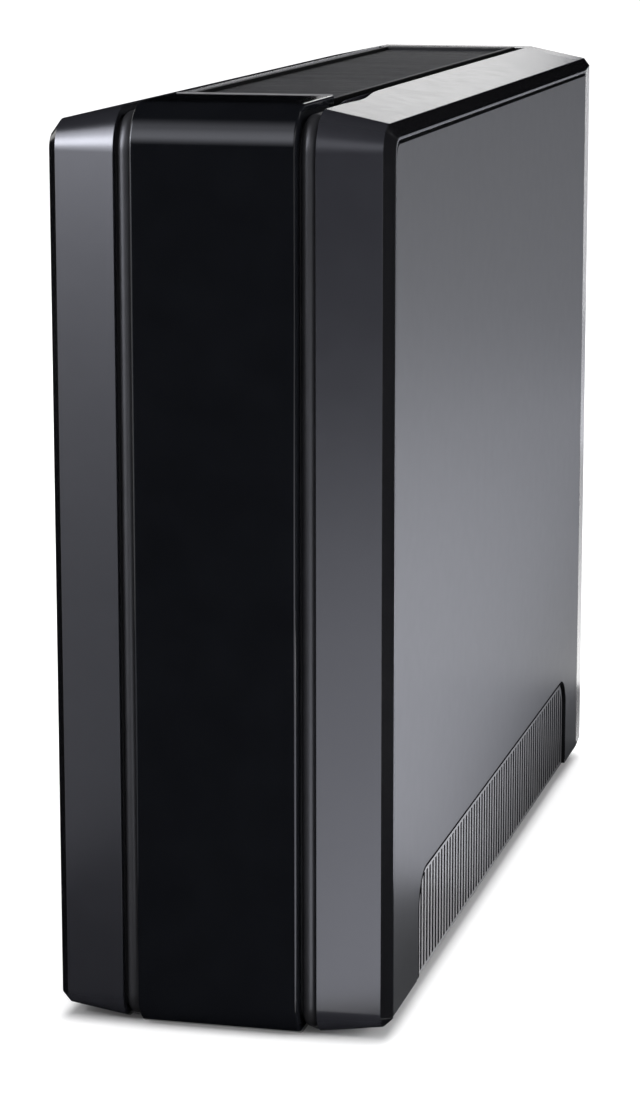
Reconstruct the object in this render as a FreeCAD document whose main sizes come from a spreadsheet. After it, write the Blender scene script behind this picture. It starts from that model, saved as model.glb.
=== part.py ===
# External battery pack for a tower UPS, in millimetres.
# The front faces -Y, the battery cover is on +X, and the origin is on the floor under the middle.
import FreeCAD, Part
import math
import os
import re
import Sketcher

DIMENSIONS = {
    # Overall box
    "overall_width": 112.0,
    "overall_height": 301.0,
    "overall_depth": 382.0,
    # Moulded walls and clearances
    "wall": 2.5,
    "seat_gap": 0.3,
    "cover_gap": 0.4,
    "trim_gap": 0.3,
    # Side shells: a band that slopes from the ridge to the chamfer, swept round front, top and bottom
    "ridge_half": 30.5,
    "rim_width": 2.1,
    "rim_drop": 1.4,
    "ridge_setback": 2.0,
    "ridge_top_drop": 1.3,
    "base_rise": 0.8,
    "chamfer_width": 3.2,
    "band_drop": 4.6,
    "side_drop": 8.75,
    "bottom_band_drop": 3.1,
    "bottom_side_drop": 5.9,
    "top_radius": 14.0,
    "bottom_radius": 10.5,
    "frame_lap": 6.5,
    # Grooves that part the centre panel from the wings and run out on the top
    "groove_width": 5.85,
    "groove_flare": 0.8,
    "groove_depth": 13.0,
    "groove_flare_start": 38.0,
    "groove_flare_end": 58.0,
    "groove_end": 99.0,
    "run_out_depth": 1.5,
    "bead_height": 2.3,
    # Glossy centre panel
    "panel_half": 26.7,
    "panel_bottom": 0.5,
    "panel_top_run": 51.0,
    "panel_bottom_run": 16.0,
    "panel_edge_radius": 0.8,
    # Louvred insert in the top
    "grille_half": 26.4,
    "grille_top_drop": 1.0,
    "grille_rail": 1.7,
    "slat_sink": 1.3,
    "slat_thickness": 2.4,
    "louvre_pitch": 5.08,
    "louvre_gap": 2.4,
    "louvre_margin": 4.0,
    "louvre_rear_margin": 14.0,
    # Side openings and the panels that close them
    "cover_thickness": 2.6,
    "front_border": 0.6,
    "top_border": 0.8,
    "top_gap": 1.3,
    "cover_corner_radius": 4.6,
    "cover_bottom_radius": 3.0,
    "window_front": 24.0,
    "window_rear": 12.0,
    "window_top": 24.0,
    "window_bottom": 8.5,
    "vent_front": 50.5,
    "vent_rear": 43.5,
    "vent_top": 43.4,
    "vent_sink": 1.2,
    "vent_radius": 12.0,
    "vent_pitch": 4.82,
    "vent_slot": 2.4,
    "vent_margin": 2.9,
    "vent_top_margin": 2.9,
    "vent_sill": 1.2,
    "vent_line": 0.8,
    "vent_line_depth": 0.9,
    "hem_height": 1.4,
    "hem_depth": 0.6,
    # Hooks of the battery cover and the notches that let them out after the slide
    "cover_travel": 6.0,
    "hook_width": 5.0,
    "hook_stem": 3.0,
    "hook_reach": 3.0,
    "hook_lip": 2.2,
    "hook_play": 0.6,
    "hook_first": 58.0,
    "hook_pitch": 90.0,
    "hook_count": 3,
    "notch_margin": 1.0,
    # Rear frame and rear panel
    "bezel_depth": 15.0,
    "bezel_wall": 3.0,
    "bezel_ledge": 12.0,
    "bezel_ledge_depth": 8.0,
    "bezel_taper": 0.9,
    "bezel_rise": 1.2,
    "rear_vent_pitch": 8.0,
    "rear_vent_slot": 3.5,
    "rear_vent_margin": 16.0,
    "rear_vent_half": 27.0,
    "screw_radius": 1.6,
    "screw_head_radius": 3.0,
    "screw_head_height": 2.0,
    "screw_length": 8.0,
    "screw_inset": 7.5,
    "screw_height": 24.0,
    # Battery output socket
    "socket_half_width": 23.0,
    "socket_half_height": 12.0,
    "socket_wall": 3.0,
    "socket_depth": 24.0,
    "socket_floor": 4.0,
    "socket_flange": 4.0,
    "socket_flange_thickness": 2.0,
    "contact_half_gap": 9.0,
    "contact_half_width": 4.0,
    "contact_thickness": 1.5,
    "contact_length": 9.0,
    "contact_tail": 6.0,
    # Sealed lead-acid blocks, two pairs in line, lids towards the cover
    "battery_length": 151.0,
    "battery_width": 65.0,
    "battery_height": 94.0,
    "battery_lid": 16.0,
    "battery_lid_step": 0.8,
    "battery_edge_radius": 2.0,
    "bay_play": 0.4,
    "cradle_width": 75.5,
    "tab_width": 6.35,
    "tab_thickness": 0.8,
    "tab_height": 5.4,
    "tab_end_inset": 9.5,
    "tab_side_inset": 14.0,
    "sleeve_width": 8.4,
    "sleeve_thickness": 4.0,
    "sleeve_height": 5.0,
    "sleeve_lift": 0.3,
    "strap_width": 26.0,
    "strap_thickness": 0.8,
    # Fuse board on the cradle
    "board_length": 62.0,
    "board_width": 56.0,
    "board_thickness": 1.6,
    "board_rear": 8.0,
    "board_gap": 13.0,
    "board_left": 12.0,
    "standoff_radius": 3.0,
    "standoff_height": 9.5,
    "standoff_inset": 5.0,
    "fuse_block_length": 30.0,
    "fuse_block_width": 14.0,
    "fuse_block_height": 9.0,
    "fuse_length": 19.0,
    "fuse_thickness": 5.0,
    "fuse_height": 12.0,
    "fuse_sink": 5.0,
    # Wiring
    "lead_radius": 2.1,
    "lead_sides": 8,
    "lead_bend": 10.5,
    "lead_pitch": 9.0,
    "lead_overlap": 10.0,
    # Feet
    "foot_radius": 5.5,
    "foot_seat": 4.3,
    "foot_boss_wall": 1.5,
    "foot_front": 30.0,
    "foot_rear": 30.0,
}

# Places worked out from the driving sizes, each written once.
DERIVED = {
    "side_x": "overall_width / 2",
    "front_y": "0 - overall_depth / 2",
    "rear_y": "overall_depth / 2",
    "shell_rear_y": "rear_y - bezel_depth",
    "band_x": "side_x - chamfer_width",
    "rim_x": "ridge_half - rim_width",
    "ridge_front_y": "front_y + ridge_setback",
    "ridge_top_z": "overall_height - ridge_top_drop",
    "band_slope": "band_drop / (band_x - ridge_half)",
    "bottom_slope": "bottom_band_drop / (band_x - ridge_half)",
    "skin": "wall * sqrt(1 + band_slope ^ 2)",
    "bottom_skin": "wall * sqrt(1 + bottom_slope ^ 2)",
    "wing_x": "panel_half + groove_width",
    "flare_x": "wing_x + groove_flare",
    "run_out_length": "groove_end - groove_flare_end",
    "seat_x": "side_x - cover_thickness - cover_gap",
    "ledge_x": "seat_x - wall",
    "cover_x": "side_x - cover_thickness",
    "frame_half": "ridge_half + frame_lap",
    "frame_inset": "skin + band_slope * frame_lap + seat_gap",
    "frame_front_y": "ridge_front_y + frame_inset",
    "frame_top_z": "ridge_top_z - frame_inset",
    "frame_bottom_z": "base_rise + bottom_skin + bottom_slope * frame_lap + seat_gap",
    "frame_top_radius": "top_radius - frame_inset",
    "frame_bottom_radius": "bottom_radius - frame_inset",
    "grille_front_y": "front_y + panel_top_run + trim_gap",
    "flare_slope": "groove_flare / (groove_flare_end - groove_flare_start)",
    "run_start_x": "wing_x + flare_slope * (panel_top_run + trim_gap - groove_flare_start)",
    "grille_top_z": "overall_height - grille_top_drop",
    "slat_top_z": "grille_top_z - slat_sink",
    "louvre_room": "shell_rear_y - grille_front_y - louvre_margin - louvre_rear_margin - louvre_gap",
    "louvre_count": "floor(louvre_room / louvre_pitch) + 1",
    "louvre_rear_y": "grille_front_y + louvre_margin + louvre_pitch * (louvre_count - 1) + louvre_gap",
    "recess_front_y": "ridge_front_y + side_drop + front_border",
    "recess_top_z": "ridge_top_z - side_drop - top_border",
    "cover_front_y": "recess_front_y + cover_gap",
    "cover_rear_y": "shell_rear_y - cover_gap",
    "cover_top_z": "recess_top_z - top_gap",
    "cover_bottom_z": "base_rise + bottom_side_drop",
    "window_front_y": "ridge_front_y + window_front",
    "window_rear_y": "shell_rear_y - window_rear",
    "window_top_z": "ridge_top_z - window_top",
    "window_bottom_z": "base_rise + window_bottom",
    "vent_front_y": "front_y + vent_front",
    "vent_rear_y": "rear_y - vent_rear",
    "rib_count": "floor((vent_rear_y - vent_front_y - 2 * vent_margin - vent_slot) / vent_pitch)",
    "lip_x": "ledge_x - hook_play - hook_lip",
    "panel_seat_y": "shell_rear_y + bezel_ledge_depth",
    "panel_back_y": "panel_seat_y + wall",
    "chamfer_slope": "(side_drop - band_drop) / chamfer_width",
    "bottom_chamfer_slope": "(bottom_side_drop - bottom_band_drop) / chamfer_width",
    "screw_x": "side_x - screw_inset",
    "socket_front_y": "panel_back_y + socket_flange_thickness - socket_depth",
    "cradle_left_x": "0 - ledge_x",
    "bay_length": "battery_length + 2 * bay_play",
    "cradle_length": "3 * wall + 2 * bay_length",
    "cradle_front_y": "(frame_front_y + wall + panel_seat_y - cradle_length) / 2",
    "bay_height": "2 * (battery_width + bay_play)",
    "cradle_bottom_z": "frame_bottom_z + wall",
    "bay_bottom_z": "cradle_bottom_z + wall",
    "bay_top_z": "bay_bottom_z + bay_height",
    "cradle_top_z": "bay_top_z + wall",
    "cradle_rear_y": "cradle_front_y + cradle_length",
    "battery_x": "cradle_left_x + bay_play",
    "lid_x": "battery_x + battery_height",
    "board_rear_y": "min(cradle_rear_y - board_rear; socket_front_y - contact_tail - board_gap)",
    "board_left_x": "cradle_left_x + board_left",
    "board_bottom_z": "cradle_top_z + standoff_height",
    "board_top_z": "board_bottom_z + board_thickness",
    "socket_height": "board_top_z + lead_radius",
    "rear_vent_z": "socket_height + socket_half_height + socket_flange + rear_vent_margin",
    "rear_vent_room": "overall_height - rear_vent_margin - rear_vent_slot - rear_vent_z",
    "rear_vent_count": "floor(rear_vent_room / rear_vent_pitch) + 1",
    "foot_x": "frame_half + seat_gap + foot_radius + foot_boss_wall",
    "foot_front_y": "front_y + foot_front",
    "foot_rear_y": "shell_rear_y - foot_rear",
}

doc = FreeCAD.newDocument("battery_pack")
sheet = doc.addObject("Spreadsheet::Sheet", "Dims")
for row, (alias, value) in enumerate(DIMENSIONS.items(), start=1):
    sheet.set(f"A{row}", alias)
    sheet.set(f"B{row}", str(value))
    sheet.setAlias(f"B{row}", alias)
doc.recompute()

PLANES = {"X": "YZ_Plane", "Y": "XZ_Plane", "Z": "XY_Plane"}
AXES = {"X": "X_Axis", "Y": "Y_Axis", "Z": "Z_Axis"}
sub_parts = []


def formula(text):
    """Expand the names of sizes and places into an expression on the sheet."""
    def expand(match):
        word = match.group(0)
        if word in DIMENSIONS:
            return "Dims." + word
        if word in DERIVED:
            return "(" + formula(DERIVED[word]) + ")"
        return word
    return re.sub(r"[a-z][a-z0-9_]*", expand, text)


def bind(item, prop, text):
    """Tie a property of an object to the sheet."""
    item.setExpression(prop, formula(text))


def size(alias):
    """Read a driving size back from the sheet."""
    return float(sheet.get(alias))


# Bodies, sketches and features

def new_body(name):
    """Start a sub-part; its label names its file."""
    body = doc.addObject("PartDesign::Body", name)
    body.Label = name
    body.AllowCompound = True
    sub_parts.append(body)
    return body


def origin_feature(body, role):
    """Return the body's own origin plane or axis of that role."""
    return next(item for item in body.Origin.OriginFeatures if item.Role == role)


def sketch_across(body, axis, place):
    """Add a sketch square to an axis at a place along it.

    Its coordinates are (Y, Z) across X, (X, Z) across Y and (X, Y) across Z.
    """
    sketch = body.newObject("Sketcher::SketchObject", body.Name + "_sketch")
    sketch.AttachmentSupport = [(origin_feature(body, PLANES[axis]), "")]
    sketch.MapMode = "FlatFace"
    offset = f"0 - ({place})" if axis == "Y" else place
    bind(sketch, "AttachmentOffset.Base.z", offset)
    return sketch


def constrain(sketch, constraint, text):
    """Add a constraint whose value follows a formula."""
    index = sketch.addConstraint(constraint)
    name = f"value_{index}"
    sketch.renameConstraint(index, name)
    bind(sketch, "Constraints." + name, text)


def pin_point(sketch, geometry, end, x, y, start):
    """Hold an end point of a line or arc at two formulas, starting from a rough point."""
    constrain(sketch, Sketcher.Constraint("DistanceX", geometry, end, start.x), x)
    constrain(sketch, Sketcher.Constraint("DistanceY", geometry, end, start.y), y)


def polygon(sketch, points):
    """Draw a closed polygon through points given as pairs of formulas."""
    count = len(points)
    turn = 2 * math.pi / count
    reach = size("overall_width")
    rough = [FreeCAD.Vector(reach * math.cos(turn * i), reach * math.sin(turn * i), 0) for i in range(count)]
    lines = []
    for i in range(count):
        lines.append(sketch.addGeometry(Part.LineSegment(rough[i], rough[(i + 1) % count]), False))
    for i in range(count):
        sketch.addConstraint(Sketcher.Constraint("Coincident", lines[i], 2, lines[(i + 1) % count], 1))
    for i, (x, y) in enumerate(points):
        pin_point(sketch, lines[i], 1, x, y, rough[i])


def rectangle(sketch, low_x, high_x, low_y, high_y):
    """Draw a rectangle between four formulas."""
    polygon(sketch, [(low_x, low_y), (high_x, low_y), (high_x, high_y), (low_x, high_y)])


def circle(sketch, x, y, radius):
    """Draw a circle."""
    rough = FreeCAD.Vector(1, 1, 0)
    ring = sketch.addGeometry(Part.Circle(rough, FreeCAD.Vector(0, 0, 1), 1), False)
    constrain(sketch, Sketcher.Constraint("Radius", ring, 1), radius)
    pin_point(sketch, ring, 3, x, y, rough)


def rounded_outline(sketch, front, rear, bottom, top, radii):
    """Draw a side view rectangle whose corners are rounded where a radius is given.

    The radii are those of the front bottom, front top, rear top and rear bottom corner.
    """
    reach = size("overall_depth") / 2
    bend = size("top_radius")
    corners = [FreeCAD.Vector(y, z, 0) for y, z in (
        (-reach, 0), (-reach, size("overall_height")), (reach, size("overall_height")), (reach, 0))]
    backs, aheads = [], []
    for i, radius in enumerate(radii):
        run = 0 if radius is None else bend
        backs.append((corners[i - 1] - corners[i]).normalize() * run)
        aheads.append((corners[(i + 1) % 4] - corners[i]).normalize() * run)
    lines = []
    for i in range(4):
        after = (i + 1) % 4
        line = Part.LineSegment(corners[i] + aheads[i], corners[after] + backs[after])
        lines.append(sketch.addGeometry(line, False))
    sketch.addConstraint([
        Sketcher.Constraint("Vertical", lines[0]),
        Sketcher.Constraint("Horizontal", lines[1]),
        Sketcher.Constraint("Vertical", lines[2]),
        Sketcher.Constraint("Horizontal", lines[3]),
    ])
    for i, radius in enumerate(radii):
        if radius is None:
            sketch.addConstraint(Sketcher.Constraint("Coincident", lines[i - 1], 2, lines[i], 1))
            continue
        begin = math.atan2(-backs[i].y, -backs[i].x)
        ring = Part.Circle(corners[i] + backs[i] + aheads[i], FreeCAD.Vector(0, 0, 1), bend)
        arc = sketch.addGeometry(Part.ArcOfCircle(ring, begin, begin + math.pi / 2), False)
        sketch.addConstraint(Sketcher.Constraint("Tangent", lines[i - 1], 2, arc, 2))
        sketch.addConstraint(Sketcher.Constraint("Tangent", arc, 1, lines[i], 1))
        constrain(sketch, Sketcher.Constraint("Radius", arc, bend), radius)
    constrain(sketch, Sketcher.Constraint("DistanceX", lines[0], 1, corners[0].x), front)
    constrain(sketch, Sketcher.Constraint("DistanceY", lines[1], 1, corners[1].y), top)
    constrain(sketch, Sketcher.Constraint("DistanceX", lines[2], 1, corners[2].x), rear)
    constrain(sketch, Sketcher.Constraint("DistanceY", lines[3], 1, bend), bottom)


def side_outline(sketch, front, rear, top, bottom, top_radius, bottom_radius):
    """Draw a side view outline with both front corners rounded and square rear corners."""
    rounded_outline(sketch, front, rear, bottom, top, (bottom_radius, top_radius, None, None))


def add(body, axis, place, length, draw):
    """Pad a sketch from a place along an axis, towards the axis's positive end."""
    sketch = sketch_across(body, axis, place)
    draw(sketch)
    feature = body.newObject("PartDesign::Pad", body.Name + "_pad")
    feature.Profile = sketch
    feature.Reversed = axis == "Y"
    bind(feature, "Length", length)
    doc.recompute()
    return feature


def cut(body, axis, place, length, draw):
    """Pocket a sketch from a place along an axis, towards the axis's positive end."""
    before = body.Shape.Volume
    sketch = sketch_across(body, axis, place)
    draw(sketch)
    feature = body.newObject("PartDesign::Pocket", body.Name + "_pocket")
    feature.Profile = sketch
    feature.Reversed = axis != "Y"
    bind(feature, "Length", length)
    doc.recompute()
    if body.Shape.Volume > before - 1e-3:
        raise RuntimeError(f"{feature.Name} cut nothing")
    return feature


def loft(body, kind, axis, sections):
    """Join sketches at several places along an axis by ruled faces."""
    sketches = []
    for place, draw in sections:
        sketch = sketch_across(body, axis, place)
        draw(sketch)
        sketches.append(sketch)
    doc.recompute()
    for first, second in zip(sketches, sketches[1:]):
        feature = body.newObject("PartDesign::" + kind, body.Name + "_loft")
        feature.Profile = first
        feature.Sections = [second]
        feature.Ruled = True
        doc.recompute()


def repeat(body, features, axis, pitch, count):
    """Repeat features along an axis."""
    pattern = body.newObject("PartDesign::LinearPattern", body.Name + "_pattern")
    pattern.Originals = features
    pattern.Direction = (origin_feature(body, AXES[axis]), [""])
    bind(pattern, "Length", f"{pitch} * ({count} - 1)")
    bind(pattern, "Occurrences", count)
    body.Tip = pattern
    doc.recompute()
    return pattern


def fillet(body, radius, choose):
    """Round the edges that a test picks."""
    base = body.Tip
    names = [f"Edge{i}" for i, edge in enumerate(base.Shape.Edges, start=1) if choose(edge)]
    feature = body.newObject("PartDesign::Fillet", body.Name + "_fillet")
    feature.Base = (base, names)
    bind(feature, "Radius", radius)
    doc.recompute()
    return feature


def is_along_x(edge):
    """Tell whether an edge is straight and runs along X."""
    return abs(edge.BoundBox.XLength - edge.Length) < 1e-6


# Side shells

def shell_section(place, inset, bottom_inset, rear):
    """Give one section of a shell: its place along X and how its outline is drawn, set in from the ridge."""
    outline = (
        f"ridge_front_y + {inset}",
        rear,
        f"ridge_top_z - ({inset})",
        f"base_rise + {bottom_inset}",
        f"top_radius - ({inset})",
        f"bottom_radius - ({inset})",
    )
    return (place, lambda s: side_outline(s, *outline))


def run_out(sketch, hand):
    """Draw the plan of the shallow end of a groove: it flares, then closes to the ridge in an S of two arcs.

    Both arcs have the radius that makes them run along Y at the ends of the S.
    """
    side = -1 if hand == "-" else 1
    front = -size("overall_depth") / 2
    ridge = size("ridge_half")
    flare = size("panel_half") + size("groove_width") + size("groove_flare")
    start_y = front + size("panel_top_run")
    flare_end = front + size("groove_flare_end")
    end = front + size("groove_end")
    rough = [FreeCAD.Vector(side * x, y, 0) for x, y in (
        (ridge, start_y), (flare, start_y), (flare, flare_end), (ridge, end))]
    swing = flare - ridge
    run = end - flare_end
    radius = (swing ** 2 + run ** 2) / (4 * swing)
    turn = math.asin(run / (2 * radius))
    up = FreeCAD.Vector(0, 0, 1)
    outer_circle = Part.Circle(FreeCAD.Vector(side * (flare - radius), flare_end, 0), up, radius)
    inner_circle = Part.Circle(FreeCAD.Vector(side * (ridge + radius), end, 0), up, radius)
    outer_angles, inner_angles = (0, turn), (math.pi, math.pi + turn)
    begin, finish = 1, 2
    if side < 0:
        outer_angles, inner_angles = (math.pi - turn, math.pi), (-turn, 0)
        begin, finish = 2, 1
    lines = [sketch.addGeometry(Part.LineSegment(rough[i], rough[i + 1]), False) for i in range(2)]
    outer = sketch.addGeometry(Part.ArcOfCircle(outer_circle, *outer_angles), False)
    inner = sketch.addGeometry(Part.ArcOfCircle(inner_circle, *inner_angles), False)
    lines.append(sketch.addGeometry(Part.LineSegment(rough[3], rough[0]), False))
    sketch.addConstraint([
        Sketcher.Constraint("Coincident", lines[0], 2, lines[1], 1),
        Sketcher.Constraint("Coincident", lines[1], 2, outer, begin),
        Sketcher.Constraint("Coincident", outer, finish, inner, finish),
        Sketcher.Constraint("Coincident", inner, begin, lines[2], 1),
        Sketcher.Constraint("Coincident", lines[2], 2, lines[0], 1),
    ])
    half_y = "front_y + (groove_flare_end + groove_end) / 2"
    middle = (rough[2] + rough[3]) / 2
    pin_point(sketch, lines[0], 1, f"{hand}ridge_half", "grille_front_y", rough[0])
    pin_point(sketch, lines[1], 1, f"{hand}run_start_x", "grille_front_y", rough[1])
    pin_point(sketch, lines[1], 2, f"{hand}flare_x", "front_y + groove_flare_end", rough[2])
    pin_point(sketch, outer, finish, f"{hand}(flare_x + ridge_half) / 2", half_y, middle)
    pin_point(sketch, lines[2], 1, f"{hand}ridge_half", "front_y + groove_end", rough[3])
    for arc in (outer, inner):
        constrain(sketch, Sketcher.Constraint("Radius", arc, radius),
                  "((flare_x - ridge_half) ^ 2 + run_out_length ^ 2) / (4 * (flare_x - ridge_half))")


def groove_plan(sketch, hand):
    """Draw the plan of the deep part of a groove on the top, as far back as the centre panel goes."""
    inside = "rim_x - rim_width"
    corners = [
        (inside, "front_y - wall"),
        ("wing_x", "front_y - wall"),
        ("wing_x", "front_y + groove_flare_start"),
        ("run_start_x", "grille_front_y"),
        (inside, "grille_front_y"),
    ]
    polygon(sketch, [(f"{hand}({x})", y) for x, y in corners])


def side_shell(name, hand):
    """Mould one half of the housing: wing, top and bottom bands, chamfer and the ledge round its side."""
    body = new_body(name)
    past_rear = "shell_rear_y + bezel_depth"
    loft(body, "AdditiveLoft", "X", [
        shell_section(f"{hand}rim_x", "rim_drop", "rim_drop / 2", past_rear),
        shell_section(f"{hand}ridge_half", "0", "0", past_rear),
        shell_section(f"{hand}band_x", "band_drop", "bottom_band_drop", past_rear),
        shell_section(f"{hand}side_x", "side_drop", "bottom_side_drop", past_rear),
    ])
    reach = "(ledge_x - ridge_half)"
    loft(body, "SubtractiveLoft", "X", [
        shell_section(f"{hand}rim_x", "skin + rim_drop", "bottom_skin + rim_drop / 2", past_rear),
        shell_section(f"{hand}ridge_half", "skin", "bottom_skin", past_rear),
        shell_section(f"{hand}ledge_x", f"(skin + band_slope * {reach})",
                      f"(bottom_skin + bottom_slope * {reach})", past_rear),
    ])
    cut(body, "Y", "shell_rear_y", "2 * bezel_depth",
        lambda s: rectangle(s, "0 - overall_width", "overall_width", "0 - wall", "overall_height + wall"))
    seat = "seat_x" if hand == "" else "0 - side_x - wall"
    cut(body, "X", seat, "side_x - seat_x + wall", lambda s: side_outline(
        s, "recess_front_y", "shell_rear_y + wall", "recess_top_z", "0 - overall_height / 2",
        "cover_corner_radius + cover_gap", "wall"))
    ledge = "ledge_x - wall" if hand == "" else "0 - seat_x - wall"
    if hand == "":
        cut(body, "X", ledge, "3 * wall",
            lambda s: rectangle(s, "window_front_y", "window_rear_y", "window_bottom_z", "window_top_z"))
        notch_hooks(body)
    else:
        cut(body, "X", ledge, "3 * wall",
            lambda s: rectangle(s, "vent_front_y", "vent_rear_y", "window_bottom_z", "vent_top"))
    cut(body, "Z", "overall_height - groove_depth", "groove_depth + wall", lambda s: groove_plan(s, hand))
    cut(body, "Z", "ridge_top_z - run_out_depth", "run_out_depth + wall", lambda s: run_out(s, hand))
    groove = ("rim_x - wall", "wing_x") if hand == "" else ("0 - wing_x", "wall - rim_x")
    cut(body, "Y", "front_y - wall", "groove_depth + wall",
        lambda s: rectangle(s, groove[0], groove[1], "0 - wall", "overall_height + wall"))
    foot_seats(body, hand)
    return body


def notch_hooks(body):
    """Cut the notches in the ledge that the cover's hooks leave through when it has slid down."""
    low = "hook_first - cover_travel - notch_margin"
    high = "hook_first - cover_travel + hook_width + notch_margin"
    deep = "(hook_reach + notch_margin)"
    notches = [
        cut(body, "X", "ledge_x - wall", "3 * wall",
            lambda s: rectangle(s, f"window_front_y - {deep}", "window_front_y + wall", low, high)),
        cut(body, "X", "ledge_x - wall", "3 * wall",
            lambda s: rectangle(s, "window_rear_y - wall", f"window_rear_y + {deep}", low, high)),
    ]
    repeat(body, notches, "Z", "hook_pitch", "hook_count")


def foot_seats(body, hand):
    """Thicken the bottom over each foot and sink a round seat into it."""
    def rings(sketch, radius):
        circle(sketch, f"{hand}foot_x", "foot_front_y", radius)
        circle(sketch, f"{hand}foot_x", "foot_rear_y", radius)
    boss_low = "base_rise + bottom_band_drop"
    add(body, "Z", boss_low, f"foot_seat + wall - ({boss_low})",
        lambda s: rings(s, "foot_radius + foot_boss_wall"))
    cut(body, "Z", "0 - wall", "foot_seat + wall", lambda s: rings(s, "foot_radius + seat_gap"))


# Front, top and centre

def centre_frame():
    """Mould the inner frame that joins the shells: front wall, top wall and base."""
    body = new_body("centre_frame")
    add(body, "X", "0 - frame_half", "2 * frame_half", lambda s: side_outline(
        s, "frame_front_y", "shell_rear_y", "frame_top_z", "frame_bottom_z",
        "frame_top_radius", "frame_bottom_radius"))
    cut(body, "X", "0 - frame_half - wall", "2 * (frame_half + wall)", lambda s: side_outline(
        s, "frame_front_y + wall", "shell_rear_y + wall", "frame_top_z - wall", "frame_bottom_z + wall",
        "frame_top_radius - wall", "frame_bottom_radius - wall"))
    cut(body, "Z", "frame_top_z - 2 * wall", "3 * wall", lambda s: rectangle(
        s, "grille_rail + wall - grille_half", "grille_half - grille_rail - wall",
        "grille_front_y + louvre_margin", "shell_rear_y - 3 * louvre_margin"))
    return body


def front_panel():
    """Mould the glossy centre panel, which wraps over the top edge and under the bottom edge."""
    body = new_body("front_panel")
    add(body, "X", "0 - panel_half", "2 * panel_half", lambda s: side_outline(
        s, "front_y", "front_y + panel_top_run", "overall_height", "panel_bottom",
        "top_radius", "bottom_radius"))
    cut(body, "X", "wall - panel_half", "2 * (panel_half - wall)", lambda s: side_outline(
        s, "front_y + wall", "front_y + panel_top_run - wall", "overall_height - wall", "panel_bottom + wall",
        "top_radius - wall", "bottom_radius - wall"))
    cut(body, "X", "0 - panel_half - wall", "2 * (panel_half + wall)", lambda s: side_outline(
        s, "frame_front_y", "front_y + 2 * panel_top_run", "frame_top_z", "frame_bottom_z",
        "frame_top_radius", "frame_bottom_radius"))
    cut(body, "X", "0 - panel_half - wall", "2 * (panel_half + wall)", lambda s: rectangle(
        s, "front_y + panel_bottom_run", "front_y + 2 * panel_top_run", "0 - wall", "overall_height / 2"))
    half = size("panel_half")

    def outer_edge(edge):
        """Pick the long edges where the panel's face meets its two sides."""
        on_side = all(abs(abs(v.Point.x) - half) < 1e-4 for v in edge.Vertexes)
        same_side = abs(edge.BoundBox.XMax - edge.BoundBox.XMin) < 1e-4
        middle = edge.valueAt((edge.FirstParameter + edge.LastParameter) / 2)
        outside = middle.y < -size("overall_depth") / 2 + size("wall")
        above = middle.z > size("overall_height") - size("wall")
        bend = edge.Curve.TypeId == "Part::GeomCircle" and abs(edge.Curve.Radius - size("top_radius")) < 1e-4
        foot_bend = edge.Curve.TypeId == "Part::GeomCircle" and (
            abs(edge.Curve.Radius - size("bottom_radius")) < 1e-4)
        return on_side and same_side and (outside or above or bend or foot_bend)

    fillet(body, "panel_edge_radius", outer_edge)
    return body


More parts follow.
